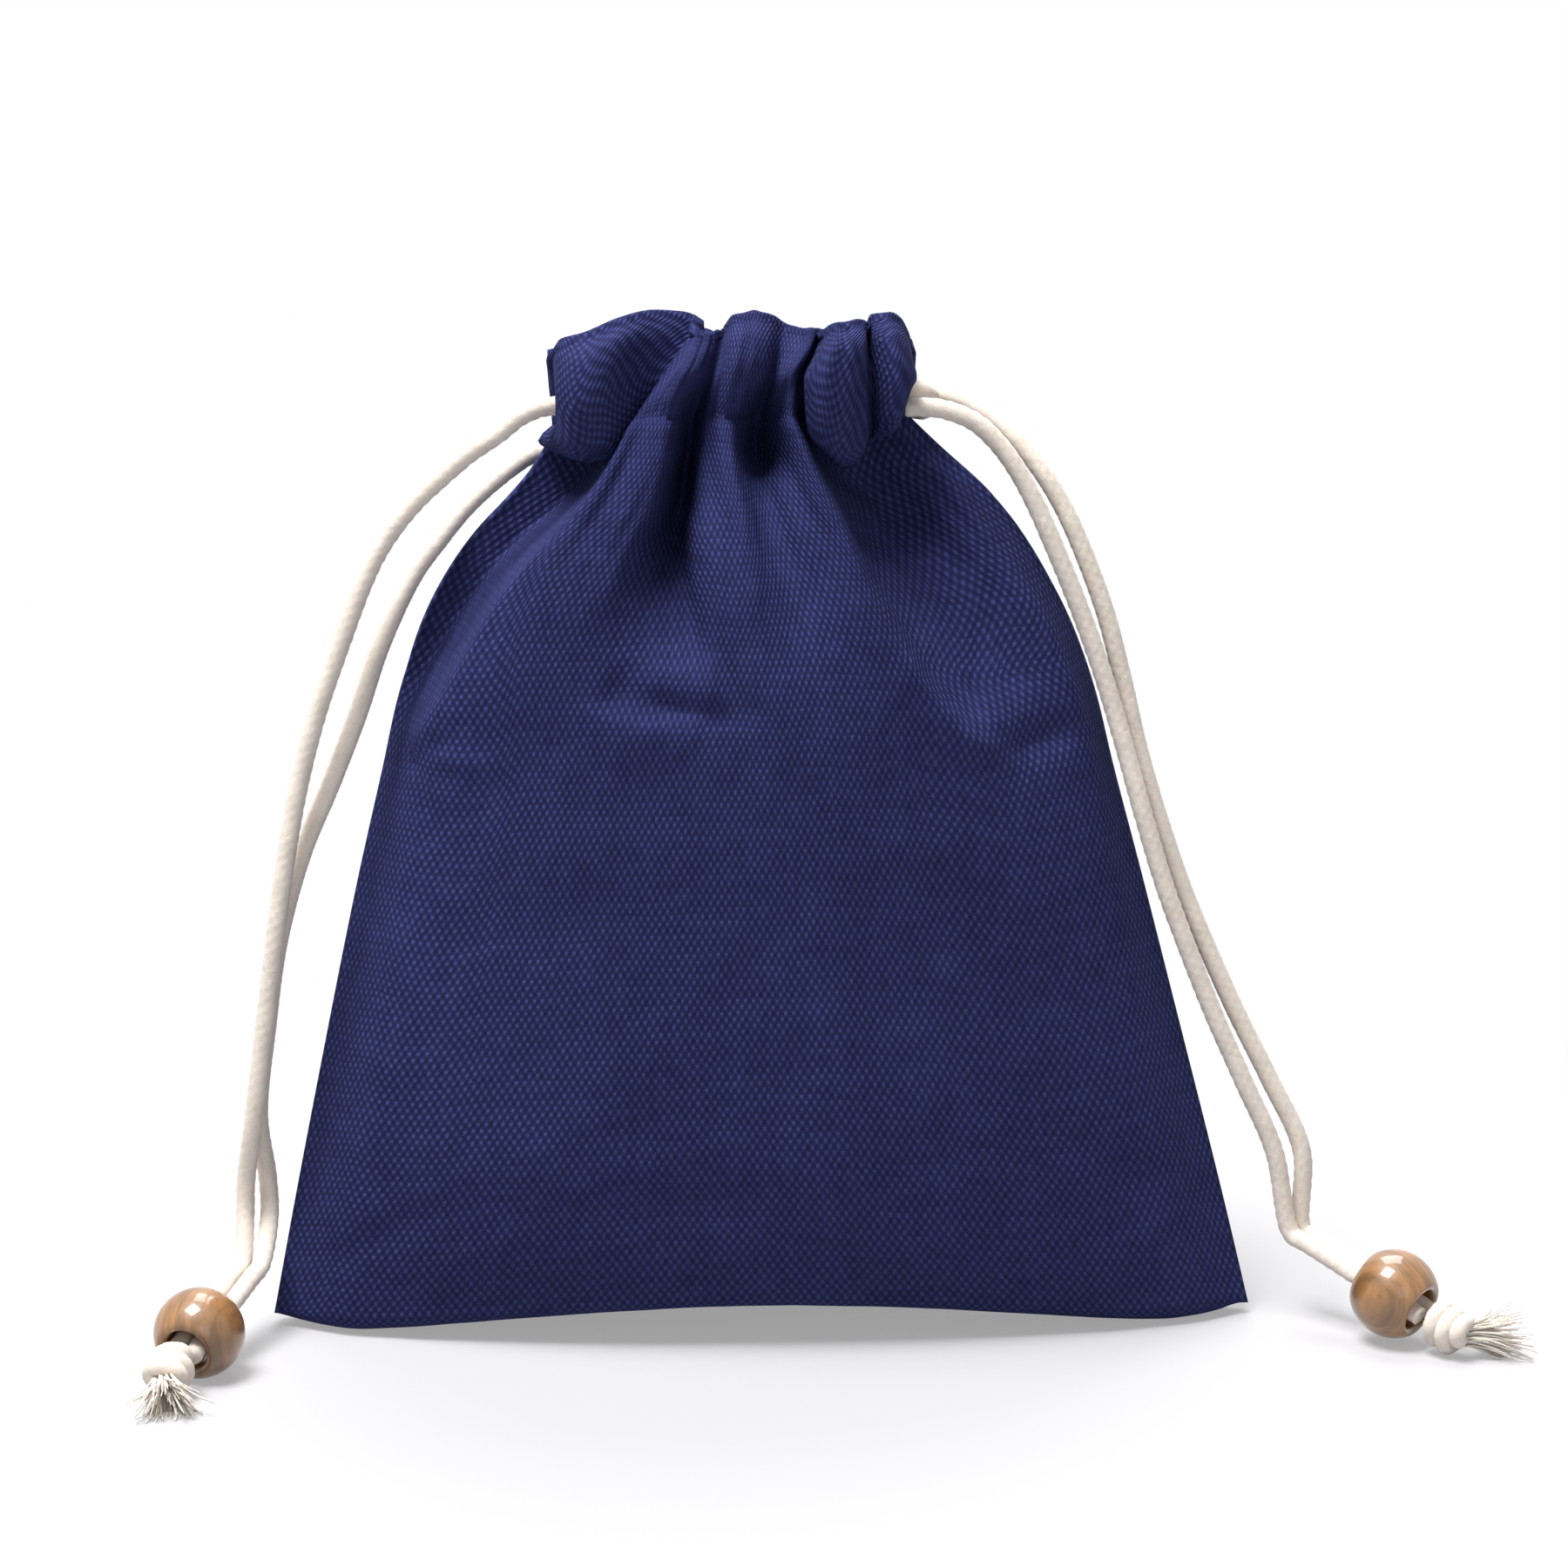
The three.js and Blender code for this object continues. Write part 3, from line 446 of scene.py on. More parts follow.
def even_casing():
    """Casing of the back: even lobes over its folds."""
    rows = [(-1, -24.2, 0, 2.4, 115.5, 124)]
    for i, place in enumerate(BACK_PLACES):
        crease = i % 2 == 0
        x = NECK_CENTRE + 0.4 + place * 24
        rim = 127.2 if crease else 128.8 + 0.9 * math.sin(7 * i)
        rows.append((place, x, 0.8 * math.sin(5 * i), 7.0 if crease else 12.6 + math.sin(3 * i),
                     119.2 - 2.6 * bump(place + 1, 0.35), rim))
    rows.append((1, 19.4, 0, 2.4, 118, 126))
    return rows


SIDES = {
    -1: {"name": "front_panel", "folds": FRONT_FOLDS, "casing": FRONT_CASING},
    1: {"name": "back_panel", "folds": even_folds(), "casing": even_casing()},
}
SEAM_HEIGHT = 0.15            # the bottom seam's height over the floor where the bag stands
SEAM_DEPTH = 0.4              # from the middle of the bottom seam to each panel
BOTTOM_ARCH = 4.0             # how far the seam is lifted in the middle
FOOT = 0.83                   # the bag stands on the cloth out here, as a share of the half width
CORNER_RISE = (1.6, 1.4)      # how far the left and the right corner's tip is turned up
CORNER_ROUND = 2.0            # how far the right corner is rounded off
HEEL_ROWS = 12                # rows that turn under the bag to the bottom seam
HEEL_HEIGHT = 3.4
GATHERED_FROM = (88, 112)     # heights between which the gathers' small wrinkles come in


def even_slope(low_step, low_rise, high_step, high_rise):
    """The slope at a point between two stretches, level where they turn, so a line never overshoots."""
    low = low_rise / low_step
    high = high_rise / high_step
    if low * high <= 0:
        return 0.0
    share = (1 + high_step / (low_step + high_step)) / 3
    return low * high / (share * high + (1 - share) * low)


def smooth_line(points, key):
    """A smooth line through (key, value, value) points, held at its first and last point."""
    last = len(points) - 1
    if key <= points[0][0]:
        return list(points[0][1:])
    if key >= points[last][0]:
        return list(points[last][1:])
    i = next(k for k in range(1, last + 1) if points[k][0] > key)
    start, end = points[i - 1], points[i]
    span = end[0] - start[0]
    t = (key - start[0]) / span
    values = []
    for axis in range(1, len(start)):
        rise = end[axis] - start[axis]
        slope_from = slope_to = rise / span
        if i > 1:
            before = points[i - 2]
            slope_from = even_slope(start[0] - before[0], start[axis] - before[axis], span, rise)
        if i < last:
            after = points[i + 1]
            slope_to = even_slope(span, rise, after[0] - end[0], after[axis] - end[axis])
        values.append((2 * t**3 - 3 * t**2 + 1) * start[axis] + (t**3 - 2 * t**2 + t) * span * slope_from
                      + (3 * t**2 - 2 * t**3) * end[axis] + (t**3 - t**2) * span * slope_to)
    return values


def half_width(z):
    """Half the bag's width at one height."""
    flare = smooth_line(SHOULDER, clamp((NECK_HEIGHT - z) / NECK_HEIGHT))[0]
    return NECK_HALF_WIDTH + (BOTTOM_HALF_WIDTH - NECK_HALF_WIDTH) * flare


def centre_line(z):
    """Where the bag's middle is at one height: it leans a little to the left at the neck."""
    return NECK_CENTRE * smooth_line(LEAN, z / NECK_HEIGHT)[0]


def plain_depth(across, z):
    """How far the unfolded bag stands from the seam plane."""
    crown = max(0.0, 1 - abs(across) ** 2.2) ** 0.56
    return CLOTH_THICKNESS + BELLY_DEPTH * smooth_line(SWELL, z / NECK_HEIGHT)[0] * crown


def fold_points(folds, z):
    """Where the folds and the two edges cross one height: (place on the cloth, across, depth)."""
    height = z / NECK_HEIGHT
    gathered = smoothstep(0.62, 1.0, height)
    crossing = [(-1, -1, CLOTH_THICKNESS)]
    for place, path in folds.values():
        across, rise = smooth_line(path, height)
        spot = across + (place - across) * gathered
        crossing.append((spot, across, plain_depth(across, z) + rise * BELLY_DEPTH))
    return crossing + [(1, 1, CLOTH_THICKNESS)]


def bottom_height(place):
    """The bottom seam: lifted in the middle, with the corner tips turned up."""
    share = abs(place)
    if share < FOOT:
        return SEAM_HEIGHT + BOTTOM_ARCH * (1 - (share / FOOT) ** 2) ** 1.4
    return SEAM_HEIGHT + CORNER_RISE[place > 0] * ((share - FOOT) / (1 - FOOT)) ** 2


def hem_height(lip):
    """Where the casing's hem is stitched to the bag, over a casing that hangs down to the lip."""
    return lip + 0.4 * (NECK_HEIGHT + 0.4 - lip)


# Small dents and drag lines of the front: (x, z, half width, half height, turn in degrees, depth)
FRONT_DENTS = [
    (-11, 84.4, 6.5, 1.5, -6, 1.5), (-11, 88.6, 7, 2.8, -6, -1.5), (-4.6, 88, 1.6, 4.6, 24, 1.4),
    (-17.6, 87.6, 1.8, 3.4, -40, 0.8),
    (33, 78.2, 6, 1.5, 14, 1.2), (31, 82.6, 6.5, 2.6, 14, -1.1), (-44, 77, 5, 1.4, 35, 0.9),
    (-41, 72.4, 5, 2.2, 35, -0.5), (-27, 99, 2.0, 9, 32, -0.5), (-20, 104, 1.8, 8, 30, 0.6),
    (6.2, 100, 1.4, 7, -24, 0.4), (17, 88, 1.6, 8, -34, -0.4), (28, 93, 1.6, 9, -14, 0.5),
    (-46, 30, 3.2, 12, -14, 0.6), (-50, 14, 8, 2.0, 30, 0.5), (49, 20, 7, 2.2, -36, 0.5),
    (-15, 20, 20, 3, 4, 0.35), (20, 46, 22, 4, -6, 0.3), (-24, 58, 14, 4, 12, 0.3),
]


def dent_depth(dents, x, z):
    total = 0.0
    for middle_x, middle_z, width, height, turn, depth in dents:
        dx = x - middle_x
        dz = z - middle_z
        if abs(dx) + abs(dz) > 3 * (width + height):
            continue
        angle = math.radians(turn)
        along = dx * math.cos(angle) + dz * math.sin(angle)
        across = dz * math.cos(angle) - dx * math.sin(angle)
        total += depth * bump(along, width) * bump(across, height)
    return total


def from_seam(place, times):
    """0 at the side seams, rising to 1 towards the middle."""
    return min(1.0, (1 - abs(place)) * times)


def uneven(side, place, height):
    """The cloth's own unevenness, in millimetres, at a place of the flat cloth."""
    spot = Vector((place * 65, height, 40 * side))
    return (0.45 * noise.noise(spot / 17) + 0.22 * noise.noise(spot / 7) + 0.09 * noise.noise(spot / 2.6))


def gather(side, place, height):
    """Small upright wrinkles that the gathering leaves near the hem and in the casing."""
    spot = Vector((place * 15, height / 16, 7 * side))
    fine = Vector((place * 34, height / 10, 9 * side))
    return 0.75 * noise.noise(spot) + 0.32 * noise.noise(fine)


def bag_rows(side):
    """Rows of points from the bottom seam up to the hem, in millimetres."""
    folds = SIDES[side]["folds"]
    casing = SIDES[side]["casing"]
    dents = FRONT_DENTS if side < 0 else []
    places = [2 * c / COLUMNS - 1 for c in range(COLUMNS + 1)]
    lips = [smooth_line(casing, place)[3] for place in places]
    rows = []
    for row in range(BAG_ROWS + 1):
        up = max(0.0, (row - HEEL_ROWS) / (BAG_ROWS - HEEL_ROWS))
        points = []
        for place, lip in zip(places, lips):
            hem = hem_height(lip)
            low = bottom_height(place) + HEEL_HEIGHT * from_seam(place, 9)
            z = low * (1 - up) + hem * up
            read_at = z + (NECK_HEIGHT - hem) * smoothstep(0.8, 1, up)
            across, depth = smooth_line(fold_points(folds, read_at), place)
            x = centre_line(read_at) + across * half_width(read_at)
            loose = uneven(side, place, z) - dent_depth(dents, x, z)
            loose += gather(side, place, z) * smoothstep(*GATHERED_FROM, z)
            depth += loose * from_seam(place, 12)
            points.append((x, soft_floor(depth, 1.0), z))
        rows.append(points)
    round_bottom(rows)
    for row, points in enumerate(rows):
        rows[row] = [(x, depth - side * forward(z), z) for x, depth, z in points]
    return rows


def forward(z):
    """How far the seam plane stands forward at one height."""
    return smooth_line(FORWARD, z / NECK_HEIGHT)[0]


def soft_floor(value, floor):
    """The value, eased so that it never falls below the floor."""
    over = value - floor
    return floor + 0.5 * (over + math.sqrt(over * over + 0.6))


def round_bottom(rows):
    """Bends the lowest rows under the bag, round its heel and in to the bottom seam."""
    for row in range(HEEL_ROWS):
        turn = 0.5 * math.pi * row / HEEL_ROWS
        for c, (x, _, z) in enumerate(rows[row]):
            full = rows[HEEL_ROWS][c][1]
            bottom = bottom_height(2 * c / COLUMNS - 1)
            x -= CORNER_ROUND * max(0.0, (c / COLUMNS - 0.96) / 0.04) ** 2 * math.cos(turn)
            depth = SEAM_DEPTH + (full - SEAM_DEPTH) * math.sin(turn) ** 0.8
            rows[row][c] = (x, depth, bottom + (z - bottom) * (1 - math.cos(turn)) ** 1.25)


END_NOTCH = 2.0               # how far the casing's left end draws back where the upper cord leaves it
END_TAB = 3.0                 # how far it stands out under that cord
FLUSH_LIP = 119.0             # with its lowest edge up here the casing lies in line with the bag
HANGING_LIP = 116.8           # and with it under this height the casing hangs out over the bag


def casing_rows(side, hem_row):
    """Rows of points from the hem up the outside of the casing to its rim."""
    casing = SIDES[side]["casing"]
    rows = []
    for row in range(1, CASING_ROWS + 1):
        up = row / CASING_ROWS
        points = []
        for c, hem in enumerate(hem_row):
            place = 2 * c / COLUMNS - 1
            x, depth, z = smooth_line(casing_path(smooth_line(casing, place), hem, place, side), up)
            depth += gather(side, place, z) * from_seam(place, 14)
            if side < 0 and place < -0.9:
                end = (-0.9 - place) / 0.1
                x += (END_NOTCH * bump(up - 0.45, 0.13) - END_TAB * bump(up - 0.16, 0.13)) * end
            points.append((x, max(depth, 1.2), z))
        rows.append(points)
    return rows


def casing_path(row, hem, place, side):
    """One upright line of the casing's outside, as (share of the way up, x, depth, z) points."""
    x, shift, out, lip, rim = row
    hem_x, hem_depth, hem_z = hem
    under_hem = hem_depth - CLOTH_THICKNESS
    rim += 0.4 * noise.noise(Vector((place * 12, 3, side)))
    hanging = [(0, hem_x, under_hem, hem_z),
               (0.1, hem_x * 0.6 + x * 0.4, hem_depth * 0.3 + out * 0.66, lip),
               (0.26, x, out * 0.98, lip + 2.6)]
    flush = [(0, hem_x, under_hem, hem_z),
             (0.1, hem_x * 0.85 + x * 0.15, hem_depth * 0.8 + out * 0.2 - CLOTH_THICKNESS, hem_z + 1.0),
             (0.26, hem_x * 0.55 + x * 0.45, hem_depth * 0.5 + out * 0.5 - 0.1, hem_z + 3.0)]
    puff = smoothstep(FLUSH_LIP, HANGING_LIP, lip)
    path = [tuple(f * (1 - puff) + o * puff for f, o in zip(*pair)) for pair in zip(flush, hanging)]
    middle = 0.5 * (lip + rim) + 0.4
    return path + [(0.52, x, out + 0.6, middle), (0.78, x + shift * 0.55, out * 0.95, rim - 2.8),
                   (1, x + shift, 0.7 * out + 0.4, rim - 0.5)]


RIM_FOLD = 2.0                # how thick the casing is where it turns over at the rim
INNER_HEM = 1.2               # the casing's inner edge ends this far over its hem


def inner_rows(side, hem_row, rim_row):
    """Rows over the rolled rim and down the inside of the casing to the hem."""
    casing = SIDES[side]["casing"]
    rows = []
    for row in range(1, ROLL_ROWS + INSIDE_ROWS + 1):
        points = []
        for c, (rim_x, rim_depth, rim_z) in enumerate(rim_row):
            hem_x, _, hem_z = hem_row[c]
            out = smooth_line(casing, 2 * c / COLUMNS - 1)[2]
            inside = min(1.2 + 0.12 * out, rim_depth - 0.3)
            reach = min(RIM_FOLD, rim_depth - inside)
            if row <= ROLL_ROWS:
                turn = math.pi * row / ROLL_ROWS
                depth = rim_depth - reach * 0.5 * (1 - math.cos(turn))
                points.append((rim_x, depth, rim_z + CLOTH_THICKNESS * math.sin(turn)))
            else:
                down = (row - ROLL_ROWS) / INSIDE_ROWS
                start = rim_depth - reach
                depth = start + (inside - start) * smoothstep(0, 0.12, down)
                z = rim_z + (hem_z + INNER_HEM - rim_z) * down
                points.append((rim_x + (hem_x - rim_x) * 0.5 * down, depth, z))
        rows.append(points)
    return rows


EVEN_PLACES = (-0.63, 0.45)   # between these the upright threads follow the folds
SMOOTH_COLUMNS = 5            # the level threads' places are smoothed over this many columns each way


def flat_cloth(rows):
    """Where each point lies on the flat cloth, in millimetres, as rows of (across, up) pairs."""
    first, last = (round((place + 1) / 2 * COLUMNS) for place in EVEN_PLACES)
    even = [(2 * c / COLUMNS - 1) * FLAT_WIDTH / 2 for c in range(COLUMNS + 1)]
    heights = [0.0] * (COLUMNS + 1)
    flat = []
    for row, high in enumerate(rows):
        low = rows[max(row - 1, 0)]
        climbs = [math.dist(a, b) for a, b in zip(low, high)]
        if row <= BAG_ROWS:
            climbs = [climbs[COLUMNS // 2]] * (COLUMNS + 1)
        else:
            climbs = smoothed(climbs)
        heights = [height + climb for height, climb in zip(heights, climbs)]
        across = list(even)
        for c in range(first - 1, -1, -1):
            across[c] = across[c + 1] - math.dist(high[c], high[c + 1])
        for c in range(last + 1, COLUMNS + 1):
            across[c] = across[c - 1] + math.dist(high[c], high[c - 1])
        flat.append(list(zip(across, heights)))
    return flat


def smoothed(values):
    result = []
    for c in range(len(values)):
        near = values[max(0, c - SMOOTH_COLUMNS) : c + SMOOTH_COLUMNS + 1]
        result.append(sum(near) / len(near))
    return result


def panel_piece(side, material, thickness):
    """A finished cloth panel: body, casing, rolled rim, the cloth's thickness and its UV map."""
    rows = bag_rows(side)
    rows += casing_rows(side, rows[-1])
    rows += inner_rows(side, rows[BAG_ROWS], rows[-1])
    places = flat_cloth(rows)
    count = len(rows) - 1
    bm = bmesh.new()
    made = bmesh.ops.create_grid(bm, x_segments=COLUMNS, y_segments=count, size=1.0)["verts"]
    uv = bm.loops.layers.uv.new("cloth")
    flat = {}
    for vert in made:
        column = round((vert.co.x + 1) / 2 * COLUMNS)
        row = round((vert.co.y + 1) / 2 * count)
        along, up = places[row][column]
        flat[vert] = (along * MM / UV_SPAN + 0.5, up * MM / UV_SPAN)
        x, depth, z = rows[row][column]
        vert.co = Vector((x, side * depth, z)) * MM
    for face in bm.faces:
        for loop in face.loops:
            loop[uv].uv = flat[loop.vert]
    if side > 0:
        bmesh.ops.reverse_faces(bm, faces=bm.faces)
    piece = mesh_piece(SIDES[side]["name"] + "_cloth", bm, material)
    thick = piece.modifiers.new("thickness", "SOLIDIFY")
    thick.thickness = thickness
    thick.offset = -1.0
    return piece


# Cords

CORD_DIAMETER = 2.4 * MM
CORD_GAP = 0.3 * MM
PAIR_OFFSET = (CORD_DIAMETER + CORD_GAP) / 2
STRAIGHT_CORD = 16 * MM       # the strands run straight from this far above the bead's middle
STRAIGHT_PLACES = (-13.5 * MM, -10 * MM, -5 * MM)
BEAD_RADIUS = 5.75 * MM
BORE_RADIUS = PAIR_OFFSET + CORD_DIAMETER / 2 + 0.25 * MM
BEAD_HALF_LENGTH = math.sqrt(BEAD_RADIUS**2 - BORE_RADIUS**2)

BEADS = {
    "left": {"centre": Vector((-71.9, -25.1, 5.75)) * MM,
             "way": Vector((-0.32, -0.91, -0.26)).normalized()},
    "right": {"centre": Vector((81.4, -17.7, 6.5)) * MM,
              "way": Vector((0.68, -0.64, -0.33)).normalized()},
}

# The free strands' routes, in millimetres, from the end of the casing to above the bead, with the
# side of the bag and the side of the bead's middle that each strand is on
CORD_ROUTES = {
    "cord_left_front": ("left", 1, [
        (-25, -8, 121), (-27.8, -8.5, 120.8), (-30.4, -9, 119.8), (-33.6, -9.5, 117.4),
        (-36.8, -10, 115.3), (-39.7, -10, 112.9), (-44.2, -10, 108.7), (-47.7, -10, 104.2),
        (-50, -10, 100), (-53.5, -10, 91.1), (-56.7, -9.5, 82.2), (-59.2, -9, 73.1), (-61, -9, 64.1),
        (-62.8, -9, 52.7), (-64.4, -9, 41.2), (-66.1, -8.5, 29.5), (-67.6, -6.6, 20), (-67.8, -6.8, 15)]),
    "cord_left_back": ("left", -1, [
        (-26.2, 5.4, 114.4), (-29.5, 4.4, 113.7), (-32.9, 2, 111.7), (-37.7, -1, 107.7),
        (-41.3, -3, 103.5), (-44.5, -4, 99.2), (-48.7, -5.5, 90.5), (-51.8, -6.3, 81.6),
        (-55.4, -6.3, 72.6), (-59.3, -6.2, 63.5), (-62.6, -6.2, 52), (-64.4, -6.2, 40.5),
        (-65.8, -5.6, 28.7), (-65, -4.4, 20), (-64.8, -5.2, 15)]),
    "cord_right_front": ("right", 1, [
        (18, -7, 120.6), (22.4, -7.5, 120.4), (26.6, -7.5, 118.8), (29.7, -7.5, 116), (32.2, -7.5, 112.6),
        (34.6, -7.5, 108.2), (36.6, -7.5, 103.8), (40.4, -7.3, 94.8), (43.7, -7.3, 85.8),
        (46.5, -7.5, 76.7), (49.1, -8, 67.6), (52, -8, 58.4), (54.8, -8, 51), (58.4, -8, 42.1),
        (62.7, -8, 32.6), (67, -8, 23)]),
    "cord_right_back": ("right", -1, [
        (18.7, 4, 121.7), (23.6, 2, 121.6), (28, -0.6, 119.8), (32, -2.8, 116.6), (35.6, -4, 112.2),
        (38.3, -4.4, 107.8), (40.4, -4.6, 103.4), (43.9, -4.6, 94.4), (46.4, -4.6, 85.3),
        (48.6, -4.8, 76.2), (51.4, -5, 67), (54.7, -5, 57.7), (57.6, -5.2, 50.8), (61.9, -5.4, 41.4),
        (66.6, -5.6, 32.1), (71, -6, 22.5)]),
}


# The cords' runs inside the casings, from one free strand round the far end to the other
CASING_ROUTES = {
    "cord_left_in_casing": [
        (-24.7, -7.8, 121), (-21.5, -6.4, 121.8), (-16, -5.2, 122.4), (-9, -4.3, 122.5),
        (-3, -4.6, 122.4), (0, -4.2, 122.3), (6, -4.8, 122.4), (13, -4.5, 122.6), (18, -4.6, 122.8),
        (21, -3, 122), (21.6, -0.4, 120.4), (20.4, 2.4, 119.4), (16, 4.2, 121), (8, 4.4, 122.6),
        (0, 4.4, 122.6), (-8, 4.4, 122), (-16, 4.6, 119.4), (-22, 5, 116.2), (-25.9, 5.4, 114.6)],
    "cord_right_in_casing": [
        (17.7, -6.9, 120.7), (15, -5.6, 122.4), (11, -4.6, 125), (5, -4.4, 125.6), (-3, -4.3, 125.6),
        (-10, -4.3, 125.4), (-17, -4.8, 124.2), (-21.4, -5, 121.6), (-23.6, -4.8, 119.4),
        (-24.6, -2.6, 118.6), (-24.8, 1.0, 118.4), (-23.9, 3.8, 118.8), (-21, 5, 120.6),
        (-16, 4.6, 123.6), (-8, 4.4, 125.4), (0, 4.4, 125.8), (8, 4.4, 125.4), (14, 4.2, 123.2),
        (18.4, 4, 121.8)],
}


def strand_points(side_name, hand, route):
    """A strand's whole route in metres: as listed, then straight through its bead to the knot."""
    bead = BEADS[side_name]
    across = bead["way"].cross(Vector((0, 0, 1))).normalized()
    points = [Vector(p) * MM for p in route]
    for place in (-STRAIGHT_CORD, *STRAIGHT_PLACES, 0, BEAD_HALF_LENGTH):
        points.append(bead["centre"] + bead["way"] * place + across * hand * PAIR_OFFSET)
    return points


def ring_frames(points):
    """Two axes across the line at each point, turned as little as can be from one to the next."""
    frames = []
    along = (points[1] - points[0]).normalized()
    side = along.orthogonal().normalized()
    for i, point in enumerate(points):
        ahead = points[min(i + 1, len(points) - 1)] - points[max(i - 1, 0)]
        turned = along.rotation_difference(ahead.normalized())
        along = ahead.normalized()
        side = (turned @ side).normalized()
        side = (side - along * side.dot(along)).normalized()
        frames.append((side, along.cross(side)))
    return frames


def tube_piece(name, points, radius_at, material, sides):
    """A closed round tube along dense points. radius_at takes the angle and the length so far."""
    frames = ring_frames(points)
    lengths = [0.0]
    for a, b in zip(points, points[1:]):
        lengths.append(lengths[-1] + (b - a).length)
    rings = len(points) - 1
    bm = bmesh.new()
    made = bmesh.ops.create_grid(bm, x_segments=sides, y_segments=rings, size=1.0)["verts"]
    for vert in made:
        turn = round((vert.co.x + 1) / 2 * sides) % sides
        ring = round((vert.co.y + 1) / 2 * rings)
        angle = 2 * math.pi * turn / sides
        radius = radius_at(angle, lengths[ring])
        side, rise = frames[ring]
        vert.co = points[ring] + (side * math.cos(angle) + rise * math.sin(angle)) * radius
    bmesh.ops.remove_doubles(bm, verts=bm.verts, dist=1e-7)
    bmesh.ops.holes_fill(bm, edges=bm.edges, sides=sides)
    bmesh.ops.recalc_face_normals(bm, faces=bm.faces)
    return mesh_piece(name, bm, material)


def mesh_piece(name, bm, material):
    """Turns a bmesh into an object with one material and smooth faces."""
    for face in bm.faces:
        face.smooth = True
    mesh = bpy.data.meshes.new(name)
    bm.to_mesh(mesh)
    bm.free()
    mesh.materials.append(material)
    piece = bpy.data.objects.new(name, mesh)
    bpy.context.scene.collection.objects.link(piece)
    return piece


BRAID_STRANDS = 8
BRAID_PITCH = 6.4 * MM        # length of cord in which a braid strand goes once round


def braid_radius(angle, along):
    """The round braid's surface: two families of strands, one over the other in turn."""
    twist = 2 * math.pi * along / BRAID_PITCH
    right = BRAID_STRANDS / 4 * (angle + twist)
    left = BRAID_STRANDS / 4 * (angle - twist)
    over = smoothstep(-0.3, 0.3, math.sin(right * 2) * math.sin(left * 2))
    ridge_right = abs(math.cos(right)) ** 0.8
    ridge_left = abs(math.cos(left)) ** 0.8
    rise = ridge_right * over + ridge_left * (1 - over)
    return CORD_DIAMETER / 2 * (0.93 + 0.11 * rise)


def make_strand(name, side_name, hand, route, material):
    control = strand_points(side_name, hand, route)
    points = spline(control, 0.35 * MM)
    piece = tube_piece(name + "_braided", points, braid_radius, material, sides=20)
    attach(piece, "pouch")
    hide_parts(name)
    return piece, points


# Beads and knots


def bead_frame(side_name):
    """Turns a piece drawn along +Z into its place along the bead's bore."""
    bead = BEADS[side_name]
    turn = bead["way"].to_track_quat("Z", "Y").to_matrix().to_4x4()
    return Matrix.Translation(bead["centre"]) @ turn


LIP_RADIUS = 0.7 * MM         # the rounded edge of the bore


def bead_profile():
    """Half section of the bead as (radius, height): up the bore, over the lips, down the outside."""
    points = []
    lip_middle = BORE_RADIUS + LIP_RADIUS
    outside = BEAD_RADIUS - LIP_RADIUS
    lip_height = math.sqrt(outside**2 - lip_middle**2)
    for i in range(7):
        points.append((BORE_RADIUS, -lip_height + 2 * lip_height * i / 6))
    tilt = math.atan2(lip_height, lip_middle)
    for i in range(1, 7):
        angle = math.pi + (tilt - math.pi) * i / 6
        points.append((lip_middle + LIP_RADIUS * math.cos(angle),
                       lip_height + LIP_RADIUS * math.sin(angle)))
    for i in range(1, 28):
        angle = tilt - 2 * tilt * i / 28
        points.append((BEAD_RADIUS * math.cos(angle), BEAD_RADIUS * math.sin(angle)))
    for i in range(6):
        angle = -tilt + (tilt - math.pi) * i / 6
        points.append((lip_middle + LIP_RADIUS * math.cos(angle),
                       -lip_height + LIP_RADIUS * math.sin(angle)))
    return points


def make_bead(side_name, wood):
    bm = bmesh.new()
    verts = [bm.verts.new((radius, 0, height)) for radius, height in bead_profile()]
    edges = [bm.edges.new(pair) for pair in zip(verts, verts[1:] + verts[:1])]
    bmesh.ops.spin(bm, geom=verts + edges, cent=(0, 0, 0), axis=(0, 0, 1), angle=2 * math.pi, steps=72,
                   use_merge=True, use_duplicate=False)
    bmesh.ops.recalc_face_normals(bm, faces=bm.faces)
    uv = bm.loops.layers.uv.new("grain")
    for face in bm.faces:
        for loop in face.loops:
            spot = loop.vert.co
            loop[uv].uv = (spot.x / (4 * BEAD_RADIUS) + 0.5, spot.z / (4 * BEAD_RADIUS) + 0.5)
    bmesh.ops.transform(bm, matrix=bead_frame(side_name), verts=bm.verts)
    piece = mesh_piece("bead_" + side_name + "_turned", bm, wood)
    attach(piece, side_name + "_slider")
    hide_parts("bead_" + side_name)


WRAP_TURNS = 2.6
WRAP_PITCH = 1.75 * MM
WRAP_RADIUS = 1.95 * MM       # from the knot's middle to the middle of the wrapped cord
KNOT_CORD = 1.12 * MM         # radius of the cord where it is pulled tight
FRAYS = {
    "left": {"way": Vector((1.4, -6.6, -0.8)), "length": 7.5 * MM, "spread": 0.52, "count": 150},
    "right": {"way": Vector((7.6, 1.6, 0.5)), "length": 9.0 * MM, "spread": 0.42, "count": 130},
}


def knot_start():
    """How far from the bead's middle the knot begins."""
    return BEAD_HALF_LENGTH + 0.3 * MM + KNOT_CORD


def wrap_points():
    """The wrapped turns under the bead, which start and end in the middle of the knot."""
    points = []
    count = 60
    start = knot_start()
    for i in range(count + 1):
        t = i / count
        angle = 2 * math.pi * WRAP_TURNS * t
        radius = WRAP_RADIUS * smoothstep(0, 0.07, t) * (1 - 0.75 * smoothstep(0.9, 1, t))
        radius *= 1 + 0.06 * math.sin(3 * angle)
        height = start + WRAP_PITCH * WRAP_TURNS * t
        points.append((radius * math.cos(angle), radius * math.sin(angle), height))
    return points


